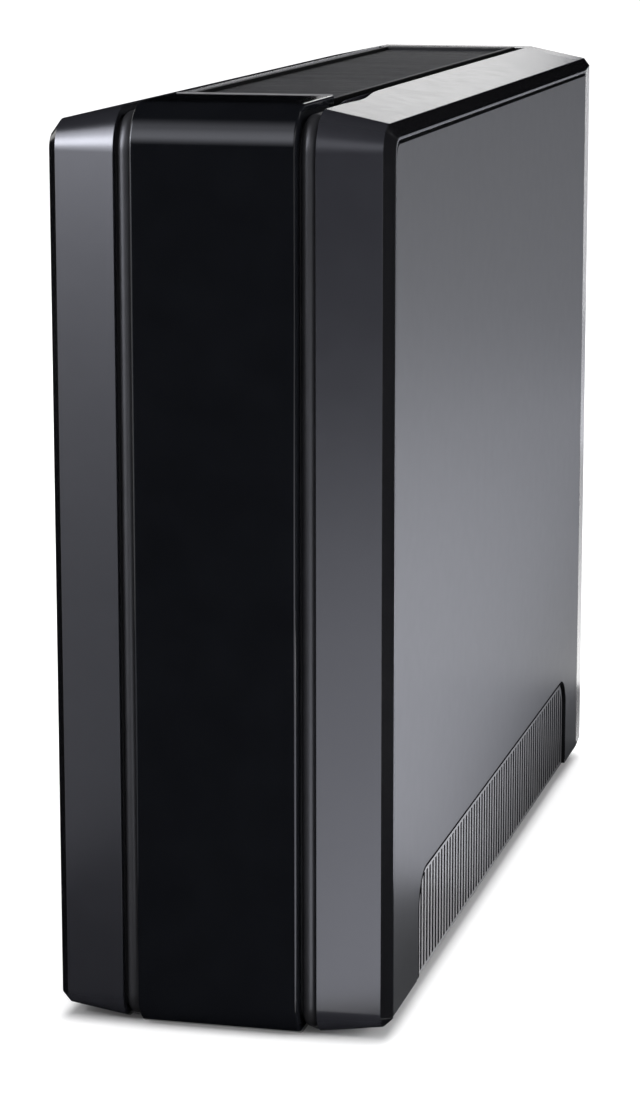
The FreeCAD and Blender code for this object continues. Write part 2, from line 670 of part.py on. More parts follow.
def groove_trim(name, hand):
    """Mould the half-round bead that lies in a groove, from under the bottom edge to the end of the panel."""
    body = new_body(name)
    spine = sketch_across(body, "X", f"{hand}(panel_half + wing_x) / 2")
    front = -size("overall_depth") / 2
    top = size("overall_height")
    bend = size("top_radius") / 2
    up = FreeCAD.Vector(0, 0, 1)
    corners = [FreeCAD.Vector(front + bend, bend, 0), FreeCAD.Vector(front + bend, top - bend, 0)]
    low_arc, high_arc = [
        spine.addGeometry(Part.ArcOfCircle(Part.Circle(corner, up, bend), begin, begin + math.pi / 2), False)
        for corner, begin in zip(corners, (math.pi, math.pi / 2))]
    rise = spine.addGeometry(Part.LineSegment(
        FreeCAD.Vector(front, bend, 0), FreeCAD.Vector(front, top - bend, 0)), False)
    run = spine.addGeometry(Part.LineSegment(
        FreeCAD.Vector(front + bend, top, 0), FreeCAD.Vector(front + size("panel_top_run"), top, 0)), False)
    spine.addConstraint([
        Sketcher.Constraint("Tangent", low_arc, 1, rise, 1),
        Sketcher.Constraint("Tangent", rise, 2, high_arc, 2),
        Sketcher.Constraint("Tangent", high_arc, 1, run, 1),
        Sketcher.Constraint("Vertical", rise),
        Sketcher.Constraint("Horizontal", run),
    ])
    start_y = "frame_front_y + frame_bottom_radius"
    pin_point(spine, low_arc, 2, start_y, "frame_bottom_z", FreeCAD.Vector(front + bend, 0, 0))
    pin_point(spine, run, 2, "grille_front_y - trim_gap", "frame_top_z", FreeCAD.Vector(front, top, 0))
    constrain(spine, Sketcher.Constraint("DistanceX", low_arc, 3, front + bend), start_y)
    constrain(spine, Sketcher.Constraint("Radius", low_arc, bend), "frame_bottom_radius")
    constrain(spine, Sketcher.Constraint("Radius", high_arc, bend), "frame_top_radius")
    profile = sketch_across(body, "Y", start_y)
    side = -1 if hand == "-" else 1
    half = size("groove_width") / 2 - size("trim_gap")
    sunk = (half ** 2 - size("bead_height") ** 2) / (2 * size("bead_height"))
    tilt = math.atan2(sunk, half)
    middle = FreeCAD.Vector(side * (size("panel_half") + size("groove_width") / 2), bend, 0)
    centre = middle + FreeCAD.Vector(0, sunk, 0)
    ring = Part.Circle(centre, up, sunk + size("bead_height"))
    curve = profile.addGeometry(Part.ArcOfCircle(ring, math.pi + tilt, 2 * math.pi - tilt), False)
    ends = [middle + FreeCAD.Vector(half, 0, 0), middle - FreeCAD.Vector(half, 0, 0)]
    base = profile.addGeometry(Part.LineSegment(*ends), False)
    profile.addConstraint([
        Sketcher.Constraint("Coincident", curve, 2, base, 1),
        Sketcher.Constraint("Coincident", curve, 1, base, 2),
        Sketcher.Constraint("Horizontal", base),
    ])
    right = "wing_x - trim_gap" if hand == "" else "0 - panel_half - trim_gap"
    chord = "(groove_width / 2 - trim_gap)"
    pin_point(profile, base, 1, right, "frame_bottom_z", ends[0])
    pin_point(profile, curve, 3, f"{hand}(panel_half + wing_x) / 2",
              f"frame_bottom_z + ({chord} ^ 2 - bead_height ^ 2) / (2 * bead_height)", centre)
    doc.recompute()
    pipe = body.newObject("PartDesign::AdditivePipe", name + "_pipe")
    pipe.Profile = profile
    pipe.Spine = spine
    doc.recompute()
    return body


def top_grille():
    """Mould the louvred insert: two rails and a floor of slats, sunk below them."""
    body = new_body("top_grille")
    add(body, "Z", "frame_top_z", "grille_top_z - frame_top_z", lambda s: rectangle(
        s, "0 - grille_half", "grille_half", "grille_front_y", "shell_rear_y"))
    inner = "(grille_half - grille_rail)"
    slats_rear = "louvre_rear_y + louvre_margin"
    cut(body, "Z", "slat_top_z", "slat_sink + wall", lambda s: rectangle(
        s, f"0 - {inner}", inner, "grille_front_y + grille_rail", slats_rear))
    cut(body, "Z", "frame_top_z - wall", "slat_top_z - slat_thickness - frame_top_z + wall", lambda s: rectangle(
        s, f"0 - {inner}", inner, "grille_front_y + grille_rail", slats_rear))
    first = "grille_front_y + louvre_margin"
    louvre = cut(body, "Z", "frame_top_z - wall", "grille_top_z - frame_top_z + 2 * wall", lambda s: rectangle(
        s, f"0 - {inner}", inner, first, f"{first} + louvre_gap"))
    repeat(body, [louvre], "Y", "louvre_pitch", "louvre_count")
    return body


# Side panels

def panel_blank(body, low_x, thickness):
    """Pad the plate of a side panel, with both its front corners rounded."""
    add(body, "X", low_x, thickness, lambda s: side_outline(
        s, "cover_front_y", "cover_rear_y", "cover_top_z", "cover_bottom_z",
        "cover_corner_radius", "cover_bottom_radius"))


def vent_field(body, hand):
    """Sink the vent field into a side panel, line it with a groove and bar its opening with upright ribs."""
    sunk = "(vent_sink + vent_line_depth)"
    outside = f"side_x - {sunk}" if hand == "" else "0 - side_x - wall"
    cut(body, "X", outside, f"{sunk} + wall", lambda s: rounded_outline(
        s, "vent_front_y", "vent_rear_y", "0 - wall", "vent_top", (None, "vent_radius", "vent_radius", None)))
    raised = f"side_x - {sunk}" if hand == "" else "vent_sink - side_x"
    field_radius = "vent_radius - vent_line"
    add(body, "X", raised, "vent_line_depth", lambda s: rounded_outline(
        s, "vent_front_y + vent_line", "vent_rear_y - vent_line", "cover_bottom_z", "vent_top - vent_line",
        (None, field_radius, field_radius, None)))
    through = "ledge_x" if hand == "" else "0 - side_x - wall"
    inner_radius = "vent_radius - vent_margin"
    sill = "cover_bottom_z + vent_sill"
    cut(body, "X", through, "side_x - ledge_x + wall", lambda s: rounded_outline(
        s, "vent_front_y + vent_margin", "vent_rear_y - vent_margin", sill, "vent_top - vent_top_margin",
        (None, inner_radius, inner_radius, None)))
    floor_x = "cover_x" if hand == "" else "vent_sink - side_x"
    depth = "side_x - vent_sink - cover_x" if hand == "" else "side_x - vent_sink - seat_x"
    first = "vent_front_y + vent_margin + vent_slot"
    rib = add(body, "X", floor_x, depth, lambda s: rectangle(
        s, first, f"{first} + vent_pitch - vent_slot", "cover_bottom_z", "vent_top - vent_top_margin / 2"))
    repeat(body, [rib], "Y", "vent_pitch", "rib_count")


def hem(body, hand):
    """Step the bottom edge of a side panel back, from its front corner to the vent field."""
    outside = "side_x - hem_depth" if hand == "" else "0 - side_x - wall"
    cut(body, "X", outside, "hem_depth + wall", lambda s: rectangle(
        s, "cover_front_y - wall", "vent_front_y", "0 - wall", "cover_bottom_z + hem_height"))


def battery_cover():
    """Mould the sliding battery cover: plate, vent field and the hooks behind the ledge."""
    body = new_body("battery_cover")
    panel_blank(body, "cover_x", "cover_thickness")
    vent_field(body, "")
    hem(body, "")
    high = "hook_first + hook_width"
    stem_low = "window_front_y + hook_play"
    stem_high = "window_rear_y - hook_play"
    hooks = [
        add(body, "X", "lip_x", "cover_x - lip_x", lambda s: rectangle(
            s, stem_low, f"{stem_low} + hook_stem", "hook_first", high)),
        add(body, "X", "lip_x", "hook_lip", lambda s: rectangle(
            s, f"{stem_low} - hook_reach", f"{stem_low} + hook_stem", "hook_first", high)),
        add(body, "X", "lip_x", "cover_x - lip_x", lambda s: rectangle(
            s, f"{stem_high} - hook_stem", stem_high, "hook_first", high)),
        add(body, "X", "lip_x", "hook_lip", lambda s: rectangle(
            s, f"{stem_high} - hook_stem", f"{stem_high} + hook_reach", "hook_first", high)),
    ]
    repeat(body, hooks, "Z", "hook_pitch", "hook_count")
    return body


def left_side_panel():
    """Mould the fixed panel on the other side, which lies flat on its ledge."""
    body = new_body("left_side_panel")
    panel_blank(body, "0 - side_x", "side_x - seat_x")
    vent_field(body, "-")
    hem(body, "-")
    return body


# Rear

def bezel_outline(sketch, taper, rise):
    """Draw the section of the shells with its sides drawn in and its bottom raised."""
    right = [
        ("ridge_half", f"base_rise + {rise}"),
        ("band_x", f"base_rise + bottom_band_drop + {rise}"),
        (f"side_x - {taper}", f"cover_bottom_z + {rise} - bottom_chamfer_slope * {taper}"),
        (f"side_x - {taper}", f"ridge_top_z - side_drop + chamfer_slope * {taper}"),
        ("band_x", "ridge_top_z - band_drop"),
        ("ridge_half", "ridge_top_z"),
    ]
    left = [(f"0 - ({x})", z) for x, z in reversed(right)]
    polygon(sketch, right + left)


def bezel_seat(sketch, gap):
    """Draw the seat of the rear panel inside the rear frame, drawn in by a gap."""
    right = [
        ("ridge_half", f"base_rise + bezel_wall + {gap}"),
        (f"band_x - {gap}", f"base_rise + bottom_band_drop + bezel_wall + {gap}"),
        (f"band_x - {gap}", f"ridge_top_z - band_drop - bezel_wall - {gap}"),
        ("ridge_half", f"ridge_top_z - bezel_wall - {gap}"),
    ]
    left = [(f"0 - ({x})", z) for x, z in reversed(right)]
    polygon(sketch, right + left)


def screw_circles(sketch, radius):
    """Draw a circle at each of the rear panel's four screws."""
    for x in ("screw_x", "0 - screw_x"):
        for z in ("screw_height", "overall_height - screw_height"):
            circle(sketch, x, z, radius)


def rear_bezel():
    """Mould the tapered rear frame that ends both shells and carries the rear panel on a ledge."""
    body = new_body("rear_bezel")
    loft(body, "AdditiveLoft", "Y", [
        ("shell_rear_y", lambda s: bezel_outline(s, "0", "0")),
        ("rear_y", lambda s: bezel_outline(s, "bezel_taper", "bezel_rise")),
    ])
    cut(body, "Y", "panel_seat_y", "bezel_depth", lambda s: bezel_seat(s, "0"))
    cut(body, "Y", "shell_rear_y - wall", "bezel_depth", lambda s: rectangle(
        s, "bezel_ledge - side_x", "side_x - bezel_ledge",
        "base_rise + bezel_ledge", "ridge_top_z - bezel_ledge"))
    cut(body, "Y", "panel_back_y - screw_length", "screw_length", lambda s: screw_circles(s, "screw_radius"))
    return body


def rear_panel():
    """Make the rear panel with its socket opening, air slots and screw holes."""
    body = new_body("rear_panel")
    add(body, "Y", "panel_seat_y", "wall", lambda s: bezel_seat(s, "seat_gap"))
    through = ("panel_seat_y - wall", "3 * wall")
    cut(body, "Y", *through, lambda s: rectangle(
        s, "0 - socket_half_width", "socket_half_width",
        "socket_height - socket_half_height", "socket_height + socket_half_height"))
    cut(body, "Y", *through, lambda s: screw_circles(s, "screw_radius"))
    slot = cut(body, "Y", *through, lambda s: rectangle(
        s, "0 - rear_vent_half", "rear_vent_half", "rear_vent_z", "rear_vent_z + rear_vent_slot"))
    repeat(body, [slot], "Z", "rear_vent_pitch", "rear_vent_count")
    return body


def rear_screws():
    """Make the four screws of the rear panel as one group."""
    body = new_body("rear_screws")
    add(body, "Y", "panel_back_y", "screw_head_height", lambda s: screw_circles(s, "screw_head_radius"))
    add(body, "Y", "panel_back_y - screw_length", "screw_length", lambda s: screw_circles(s, "screw_radius"))
    return body


def contact_blades(sketch):
    """Draw the sections of the two blades."""
    for side in ("", "0 - "):
        centre = f"{side}contact_half_gap"
        rectangle(sketch, f"{centre} - contact_half_width", f"{centre} + contact_half_width",
                  "socket_height - contact_thickness / 2", "socket_height + contact_thickness / 2")


def dc_socket():
    """Mould the two-pole battery socket: flange, sleeve and floor."""
    body = new_body("dc_socket")

    def frame(sketch, grow):
        rectangle(sketch, f"0 - (socket_half_width + {grow})", f"socket_half_width + {grow}",
                  f"socket_height - (socket_half_height + {grow})",
                  f"socket_height + socket_half_height + {grow}")

    add(body, "Y", "panel_back_y", "socket_flange_thickness", lambda s: frame(s, "socket_flange"))
    add(body, "Y", "socket_front_y", "socket_depth", lambda s: frame(s, "0"))
    cut(body, "Y", "socket_front_y + socket_floor", "socket_depth", lambda s: frame(s, "(0 - socket_wall)"))
    cut(body, "Y", "socket_front_y - wall", "socket_depth", contact_blades)
    return body


def dc_contacts():
    """Make the two blades that stand in the socket's floor."""
    body = new_body("dc_contacts")
    add(body, "Y", "socket_front_y - contact_tail", "contact_tail + socket_floor + contact_length",
        contact_blades)
    return body


# Batteries and their cradle

def battery_cradle():
    """Mould the two-bay cradle that holds the battery pairs on the base."""
    body = new_body("battery_cradle")
    add(body, "X", "cradle_left_x", "cradle_width", lambda s: rectangle(
        s, "cradle_front_y", "cradle_rear_y", "cradle_bottom_z", "cradle_top_z"))
    first = "cradle_front_y + wall"
    bay = cut(body, "X", "cradle_left_x - wall", "cradle_width + 2 * wall", lambda s: rectangle(
        s, first, f"{first} + bay_length", "bay_bottom_z", "bay_top_z"))
    repeat(body, [bay], "Y", "bay_length + wall", "2")

    def posts(sketch):
        for x in ("board_left_x + standoff_inset", "board_left_x + board_width - standoff_inset"):
            for y in ("board_rear_y - standoff_inset", "board_rear_y - board_length + standoff_inset"):
                circle(sketch, x, y, "standoff_radius")

    add(body, "Z", "cradle_top_z - wall / 2", "standoff_height + wall / 2", posts)
    return body


BATTERIES = {
    "front_lower_battery": (0, 0),
    "front_upper_battery": (0, 1),
    "rear_lower_battery": (1, 0),
    "rear_upper_battery": (1, 1),
}


def battery_corner(bay, level):
    """Give the formulas of a battery's low corner."""
    y = f"cradle_front_y + wall + bay_play + {bay} * (bay_length + wall)"
    z = f"bay_bottom_z + bay_play / 2 + {level} * (battery_width + bay_play)"
    return ("battery_x", y, z)


def battery(name, bay, level):
    """Mould one sealed block: case, stepped lid and rounded upright corners."""
    body = new_body(name)
    add(body, "X", "0", "battery_height - battery_lid", lambda s: rectangle(
        s, "0", "battery_length", "0", "battery_width"))
    fillet(body, "battery_edge_radius", is_along_x)
    step = "battery_lid_step"
    add(body, "X", "battery_height - battery_lid", "battery_lid", lambda s: rectangle(
        s, step, f"battery_length - {step}", step, f"battery_width - {step}"))
    for coordinate, text in zip("xyz", battery_corner(bay, level)):
        bind(body, "Placement.Base." + coordinate, text)
    doc.recompute()
    return body


def tab_places():
    """Give the formulas of the middle of each terminal tab on the lids."""
    places = []
    for bay, level in BATTERIES.values():
        _, y, z = battery_corner(bay, level)
        side = "battery_width - tab_side_inset" if level else "tab_side_inset"
        for end in ("tab_end_inset", "battery_length - tab_end_inset"):
            places.append((f"{y} + {end}", f"{z} + {side}"))
    return places


def around(sketch, place, half_y, half_z):
    """Draw a rectangle about a place on the lids."""
    y, z = place
    rectangle(sketch, f"{y} - {half_y}", f"{y} + {half_y}", f"{z} - {half_z}", f"{z} + {half_z}")


def terminal_tabs():
    """Make the flat terminal tabs of all the batteries as one group."""
    body = new_body("terminal_tabs")

    def tabs(sketch):
        for place in tab_places():
            around(sketch, place, "tab_width / 2", "tab_thickness / 2")

    add(body, "X", "lid_x", "tab_height", tabs)
    return body


def terminal_sleeves():
    """Make the insulated push-on sleeves that hold the leads on the tabs, as one group."""
    body = new_body("terminal_sleeves")

    def sleeves(sketch):
        for place in tab_places():
            around(sketch, place, "sleeve_width / 2", "sleeve_thickness / 2")
            around(sketch, place, "tab_width / 2", "tab_thickness / 2")

    add(body, "X", "lid_x + sleeve_lift", "sleeve_height", sleeves)
    return body


def pull_strap(name, bay):
    """Make the flat strap across a pair of lids that draws the pair out."""
    body = new_body(name)
    _, y, z = battery_corner(bay, 0)
    middle = f"{y} + battery_length / 2"
    add(body, "X", "lid_x", "strap_thickness", lambda s: rectangle(
        s, f"{middle} - strap_width / 2", f"{middle} + strap_width / 2",
        f"{z} + battery_lid_step", f"{z} + 2 * battery_width + bay_play - battery_lid_step"))
    return body


# Fuse board and wiring

def fuse_board():
    """Make the small board that joins both pairs through the fuse."""
    body = new_body("fuse_board")
    add(body, "Z", "board_bottom_z", "board_thickness", lambda s: rectangle(
        s, "board_left_x", "board_left_x + board_width", "board_rear_y - board_length", "board_rear_y"))
    return body


def fuse_rectangle(sketch, length, width):
    """Draw a rectangle about the middle of the fuse board."""
    x, y = "board_left_x + board_width / 2", "board_rear_y - board_length / 2"
    rectangle(sketch, f"{x} - {width} / 2", f"{x} + {width} / 2", f"{y} - {length} / 2", f"{y} + {length} / 2")


def fuse_block():
    """Mould the fuse's holder."""
    body = new_body("fuse_block")
    add(body, "Z", "board_top_z", "fuse_block_height",
        lambda s: fuse_rectangle(s, "fuse_block_length", "fuse_block_width"))
    cut(body, "Z", "board_top_z + fuse_block_height - fuse_sink", "fuse_sink + wall",
        lambda s: fuse_rectangle(s, "(fuse_length + 2 * seat_gap)", "(fuse_thickness + 2 * seat_gap)"))
    return body


def blade_fuse():
    """Mould the blade fuse that stands in the holder."""
    body = new_body("blade_fuse")
    add(body, "Z", "board_top_z + fuse_block_height - fuse_sink", "fuse_height",
        lambda s: fuse_rectangle(s, "fuse_length", "fuse_thickness"))
    return body


def rubber_feet():
    """Mould the four feet as one group."""
    body = new_body("rubber_feet")

    def rings(sketch):
        for x in ("foot_x", "0 - foot_x"):
            for y in ("foot_front_y", "foot_rear_y"):
                circle(sketch, x, y, "foot_radius")

    add(body, "Z", "0", "foot_seat", rings)
    return body


def rounded_path(points, radius):
    """Join points by straight runs with a tangent arc at each corner."""
    edges = []
    start = points[0]
    for before, corner, after in zip(points, points[1:], points[2:]):
        back = (before - corner).normalize()
        ahead = (after - corner).normalize()
        half = back.getAngle(ahead) / 2
        reach = radius / math.tan(half)
        first = corner + back * reach
        last = corner + ahead * reach
        towards = (back + ahead).normalize()
        middle = corner + towards * (radius / math.sin(half) - radius)
        edges.append(Part.LineSegment(start, first).toShape())
        edges.append(Part.Arc(first, middle, last).toShape())
        start = last
    edges.append(Part.LineSegment(start, points[-1]).toShape())
    return Part.Wire(edges)


def lead(name, points):
    """Sweep one insulated lead along its route, with a many-sided section."""
    path = rounded_path(points, size("lead_bend"))
    ring = Part.Circle(points[0], points[1] - points[0], size("lead_radius"))
    sides = int(size("lead_sides"))
    corners = [ring.value(2 * math.pi * i / sides) for i in range(sides)]
    item = doc.addObject("Part::Feature", name)
    item.Label = name
    item.Shape = path.makePipe(Part.Face(Part.makePolygon(corners + corners[:1])))
    sub_parts.append(item)
    return item


def tab_point(name, far_end):
    """Give the point on a battery's sleeve where its lead begins."""
    base = doc.getObject(name).Placement.Base
    level = BATTERIES[name][1]
    end = size("battery_length") - size("tab_end_inset") if far_end else size("tab_end_inset")
    side = size("battery_width") - size("tab_side_inset") if level else size("tab_side_inset")
    lift = size("battery_height") + size("sleeve_lift") + size("sleeve_height") / 2
    return base + FreeCAD.Vector(lift, end, side)


def wiring():
    """Run the links inside each pair and the leads from both pairs to the board and the socket."""
    out = size("sleeve_width") / 2
    swing = out + size("lead_bend") + size("lead_radius")
    along = FreeCAD.Vector(0, 1, 0)
    board = doc.getObject("fuse_board").Shape.BoundBox
    run_z = board.Center.z
    for row, bay in enumerate(("front", "rear")):
        lower, upper = f"{bay}_lower_battery", f"{bay}_upper_battery"
        low, high = tab_point(lower, True), tab_point(upper, True)
        lead(f"{bay}_series_link", [
            low - along * out,
            low - along * swing,
            high - along * swing,
            high - along * out,
        ])
        for pole, (polarity, name) in enumerate((("positive", upper), ("negative", lower))):
            start = tab_point(name, False)
            turn = start + along * (swing + pole * (2 * size("lead_radius") + size("seat_gap")))
            lane_x = board.XMin + (2 * row + pole + 1) * size("lead_pitch")
            lead(f"{bay}_{polarity}_lead", [
                start + along * out,
                turn,
                FreeCAD.Vector(start.x, turn.y, run_z),
                FreeCAD.Vector(lane_x, turn.y, run_z),
                FreeCAD.Vector(lane_x, board.YMin, run_z),
            ])
    blades = sorted(doc.getObject("dc_contacts").Shape.Solids, key=lambda s: s.CenterOfMass.x)
    for blade, polarity in zip(blades, ("positive", "negative")):
        end = FreeCAD.Vector(blade.BoundBox.Center.x, blade.BoundBox.YMin, blade.BoundBox.Center.z)
        begin = FreeCAD.Vector(end.x, board.YMax - size("lead_overlap"), end.z)
        lead(f"output_{polarity}_lead", [begin, end])


def build():
    """Build every sub-part in order."""
    centre_frame()
    side_shell("left_shell", "-")
    side_shell("right_shell", "")
    front_panel()
    groove_trim("left_groove_trim", "-")
    groove_trim("right_groove_trim", "")
    top_grille()
    battery_cover()
    left_side_panel()
    rear_bezel()
    rear_panel()
    rear_screws()
    dc_socket()
    dc_contacts()
    rubber_feet()
    battery_cradle()
    for name, (bay, level) in BATTERIES.items():
        battery(name, bay, level)
    terminal_tabs()
    terminal_sleeves()
    pull_strap("front_pull_strap", 0)
    pull_strap("rear_pull_strap", 1)
    fuse_board()
    fuse_block()
    blade_fuse()
    doc.recompute()
    wiring()


def export():
    """Check every object and write one file for each sub-part."""
    doc.recompute()
    for item in doc.Objects:
        if "Invalid" in item.State or "Error" in item.State:
            raise RuntimeError(f"{item.Name} did not build: {item.State}")
    for item in sub_parts:
        if item.Shape.isNull() or not item.Shape.isValid():
            raise RuntimeError(f"{item.Label} has no valid shape")
    os.makedirs("parts", exist_ok=True)
    for item in sub_parts:
        item.Shape.exportStep(f"parts/{item.Label}.step")


build()
export()
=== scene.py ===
"""Dress the tower battery pack: finishes, screws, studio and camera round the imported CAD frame."""
import logging
import math
from dataclasses import dataclass, field
from enum import Enum

import bpy
import numpy as np
from mathutils import Euler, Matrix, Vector


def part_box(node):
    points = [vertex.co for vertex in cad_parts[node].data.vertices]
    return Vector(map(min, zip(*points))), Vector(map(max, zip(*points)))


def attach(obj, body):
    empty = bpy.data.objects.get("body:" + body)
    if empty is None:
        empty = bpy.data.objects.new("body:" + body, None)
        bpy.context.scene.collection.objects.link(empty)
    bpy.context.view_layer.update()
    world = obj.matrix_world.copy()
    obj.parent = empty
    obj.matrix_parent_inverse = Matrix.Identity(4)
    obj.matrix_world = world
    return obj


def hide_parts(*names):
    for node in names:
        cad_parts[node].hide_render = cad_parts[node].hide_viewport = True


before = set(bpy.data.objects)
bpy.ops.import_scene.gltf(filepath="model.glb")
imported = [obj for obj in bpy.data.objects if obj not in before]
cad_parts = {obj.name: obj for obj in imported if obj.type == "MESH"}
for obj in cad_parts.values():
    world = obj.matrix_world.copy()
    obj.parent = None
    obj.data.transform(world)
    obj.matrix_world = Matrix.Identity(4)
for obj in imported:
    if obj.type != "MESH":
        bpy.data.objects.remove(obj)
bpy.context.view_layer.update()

MM = 0.001
HOUSING = "housing"
Colour = tuple[float, float, float]
Pair = tuple[float, float]
Socket = bpy.types.NodeSocket
log = logging.getLogger("battery_pack")


class Grain(Enum):
    """How the surface of a finish is broken up."""

    SPARKED = "spark-eroded mould texture"
    PEEL = "soft orange peel of paint and gloss"
    BRUSHED = "fine lines along one axis"
    SOFT = "dull skin of rubber and vinyl"


class Blend(Enum):
    """What a Mix node blends, each with the place of its sockets among the node's."""

    FLOAT = 0
    VECTOR = 1
    RGBA = 2


class Graph:
    """The node tree of one material, with short calls for the nodes that the finishes use."""

    def __init__(self, name: str) -> None:
        """Start a material with its shader and its Object coordinates.

        Args:
            name: The material's name.
        """
        self.material = bpy.data.materials.new(name)
        self.material.use_nodes = True
        self.tree = self.material.node_tree
        self.shader = self.tree.nodes["Principled BSDF"]
        self.point = self.add("ShaderNodeTexCoord").outputs["Object"]

    def add(self, kind: str, **settings: object) -> bpy.types.Node:
        """Add a node.

        Args:
            kind: The node's type.
            **settings: Properties set on the node.

        Returns:
            The new node.
        """
        node = self.tree.nodes.new(kind)
        for key, value in settings.items():
            setattr(node, key, value)
        return node

    def link(self, source: Socket, target: Socket) -> None:
        """Join an output to an input."""
        self.tree.links.new(source, target)

    def feed(self, sockets: list[Socket], values: tuple) -> None:
        """Fill inputs in order.

        Args:
            sockets: The inputs.
            values: For each, a socket to link or a fixed value to set.
        """
        for socket, value in zip(sockets, values):
            if isinstance(value, Socket):
                self.link(value, socket)
            else:
                socket.default_value = value

    def stretched(self, scale: Colour) -> Socket:
        """Scale the Object coordinates along their axes.

        Args:
            scale: The factor along each axis.

        Returns:
            The scaled coordinates.
        """
        mapping = self.add("ShaderNodeMapping")
        mapping.inputs["Scale"].default_value = scale
        self.link(self.point, mapping.inputs["Vector"])
        return mapping.outputs["Vector"]

    def noise(self, feature_mm: float, detail: float, point: Socket = None) -> Socket:
        """Make a noise of a real feature size.

        Args:
            feature_mm: The size of one feature.
            detail: How many finer layers the noise has.
            point: Other coordinates than the object's own.

        Returns:
            The noise, about 0 to 1.
        """
        node = self.add("ShaderNodeTexNoise")
        node.inputs["Scale"].default_value = 1 / (feature_mm * MM)
        node.inputs["Detail"].default_value = detail
        self.link(point or self.point, node.inputs["Vector"])
        return node.outputs["Fac"]

    def spread(self, value: Socket, low: float, high: float) -> Socket:
        """Map the middle of a noise to a range.

        Args:
            value: The noise.
            low: The result at the noise's low side.
            high: The result at its high side.

        Returns:
            The mapped value.
        """
        return self.mapped(value, (0.3, low), (0.7, high))

    def mix(self, blend: Blend, share: Socket, first: Socket | tuple | float,
            second: Socket | tuple | float) -> Socket:
        """Blend two values of one kind.

        Args:
            blend: The kind of value.
            share: How much of the second value there is.
            first: The value at 0, fixed or a socket.
            second: The value at 1, fixed or a socket.

        Returns:
            The blended value.
        """
        node = self.add("ShaderNodeMix", data_type=blend.name)
        place = blend.value
        self.feed([node.inputs[0], *node.inputs[2 * place + 2:2 * place + 4]], (share, first, second))
        return node.outputs[place]

    def between(self, share: Socket, first: Socket | Colour, second: Socket | Colour) -> Socket:
        """Blend two colours.

        Args:
            share: How much of the second colour there is.
            first: The colour at 0, fixed or a socket.
            second: The colour at 1, fixed or a socket.

        Returns:
            The blended colour.
        """
        ends = [end if isinstance(end, Socket) else (*end, 1.0) for end in (first, second)]
        return self.mix(Blend.RGBA, share, *ends)

    def math(self, operation: str, *values: float | Socket) -> Socket:
        """Work on values.

        Args:
            operation: The Math node's operation.
            *values: The numbers and sockets that it takes, in order.

        Returns:
            The result.
        """
        node = self.add("ShaderNodeMath", operation=operation)
        self.feed(node.inputs, values)
        return node.outputs["Value"]

    def vector(self, *axes: float | Socket) -> Socket:
        """Join X, Y and Z, each a number or a socket, into a vector."""
        node = self.add("ShaderNodeCombineXYZ")
        self.feed(node.inputs, axes)
        return node.outputs["Vector"]

    def length(self, vector: Socket) -> Socket:
        """Give the length of a vector."""
        node = self.add("ShaderNodeVectorMath", operation="LENGTH")
        self.link(vector, node.inputs[0])
        return node.outputs["Value"]

    def mapped(self, value: Socket, first: Pair,
               last: Pair) -> Socket:
        """Map a value between two points, level outside them.

        Args:
            value: The value.
            first: A value and its result.
            last: Another value and its result.

        Returns:
            The mapped value.
        """
        node = self.add("ShaderNodeMapRange")
        for name, number in zip(("From Min", "To Min", "From Max", "To Max"), (*first, *last)):
            node.inputs[name].default_value = number
        self.link(value, node.inputs["Value"])
        return node.outputs["Result"]

    def axes(self, vector: Socket) -> bpy.types.bpy_prop_collection:
        """Split a vector into its X, Y and Z."""
        node = self.add("ShaderNodeSeparateXYZ")
        self.link(vector, node.inputs["Vector"])
        return node.outputs

    def lean(self, axis: str) -> Socket:
        """Give how squarely a face looks along an axis.

        Args:
            axis: The axis' letter.

        Returns:
            1 for a face square to the axis, 0 for one along it.
        """
        faces = self.add("ShaderNodeNewGeometry").outputs["True Normal"]
        return self.math("ABSOLUTE", self.axes(faces)[axis])

    def rounded_edges(self, radius_mm: float) -> Socket:
        """Give normals that turn softly over edges.

        Args:
            radius_mm: The radius of the edges.

        Returns:
            The normal.
        """
        node = self.add("ShaderNodeBevel", samples=4)
        node.inputs["Radius"].default_value = radius_mm * MM
        return node.outputs["Normal"]

    def bump(self, height: Socket, depth_mm: float, normal: Socket) -> Socket:
        """Raise a noise on a surface.

        Args:
            height: The noise.
            depth_mm: Its full height.
            normal: The normal that it is raised on.

        Returns:
            The bumped normal.
        """
        node = self.add("ShaderNodeBump")
        node.inputs["Strength"].default_value = 1.0
        node.inputs["Distance"].default_value = depth_mm * MM
        self.link(height, node.inputs["Height"])
        self.link(normal, node.inputs["Normal"])
        return node.outputs["Normal"]


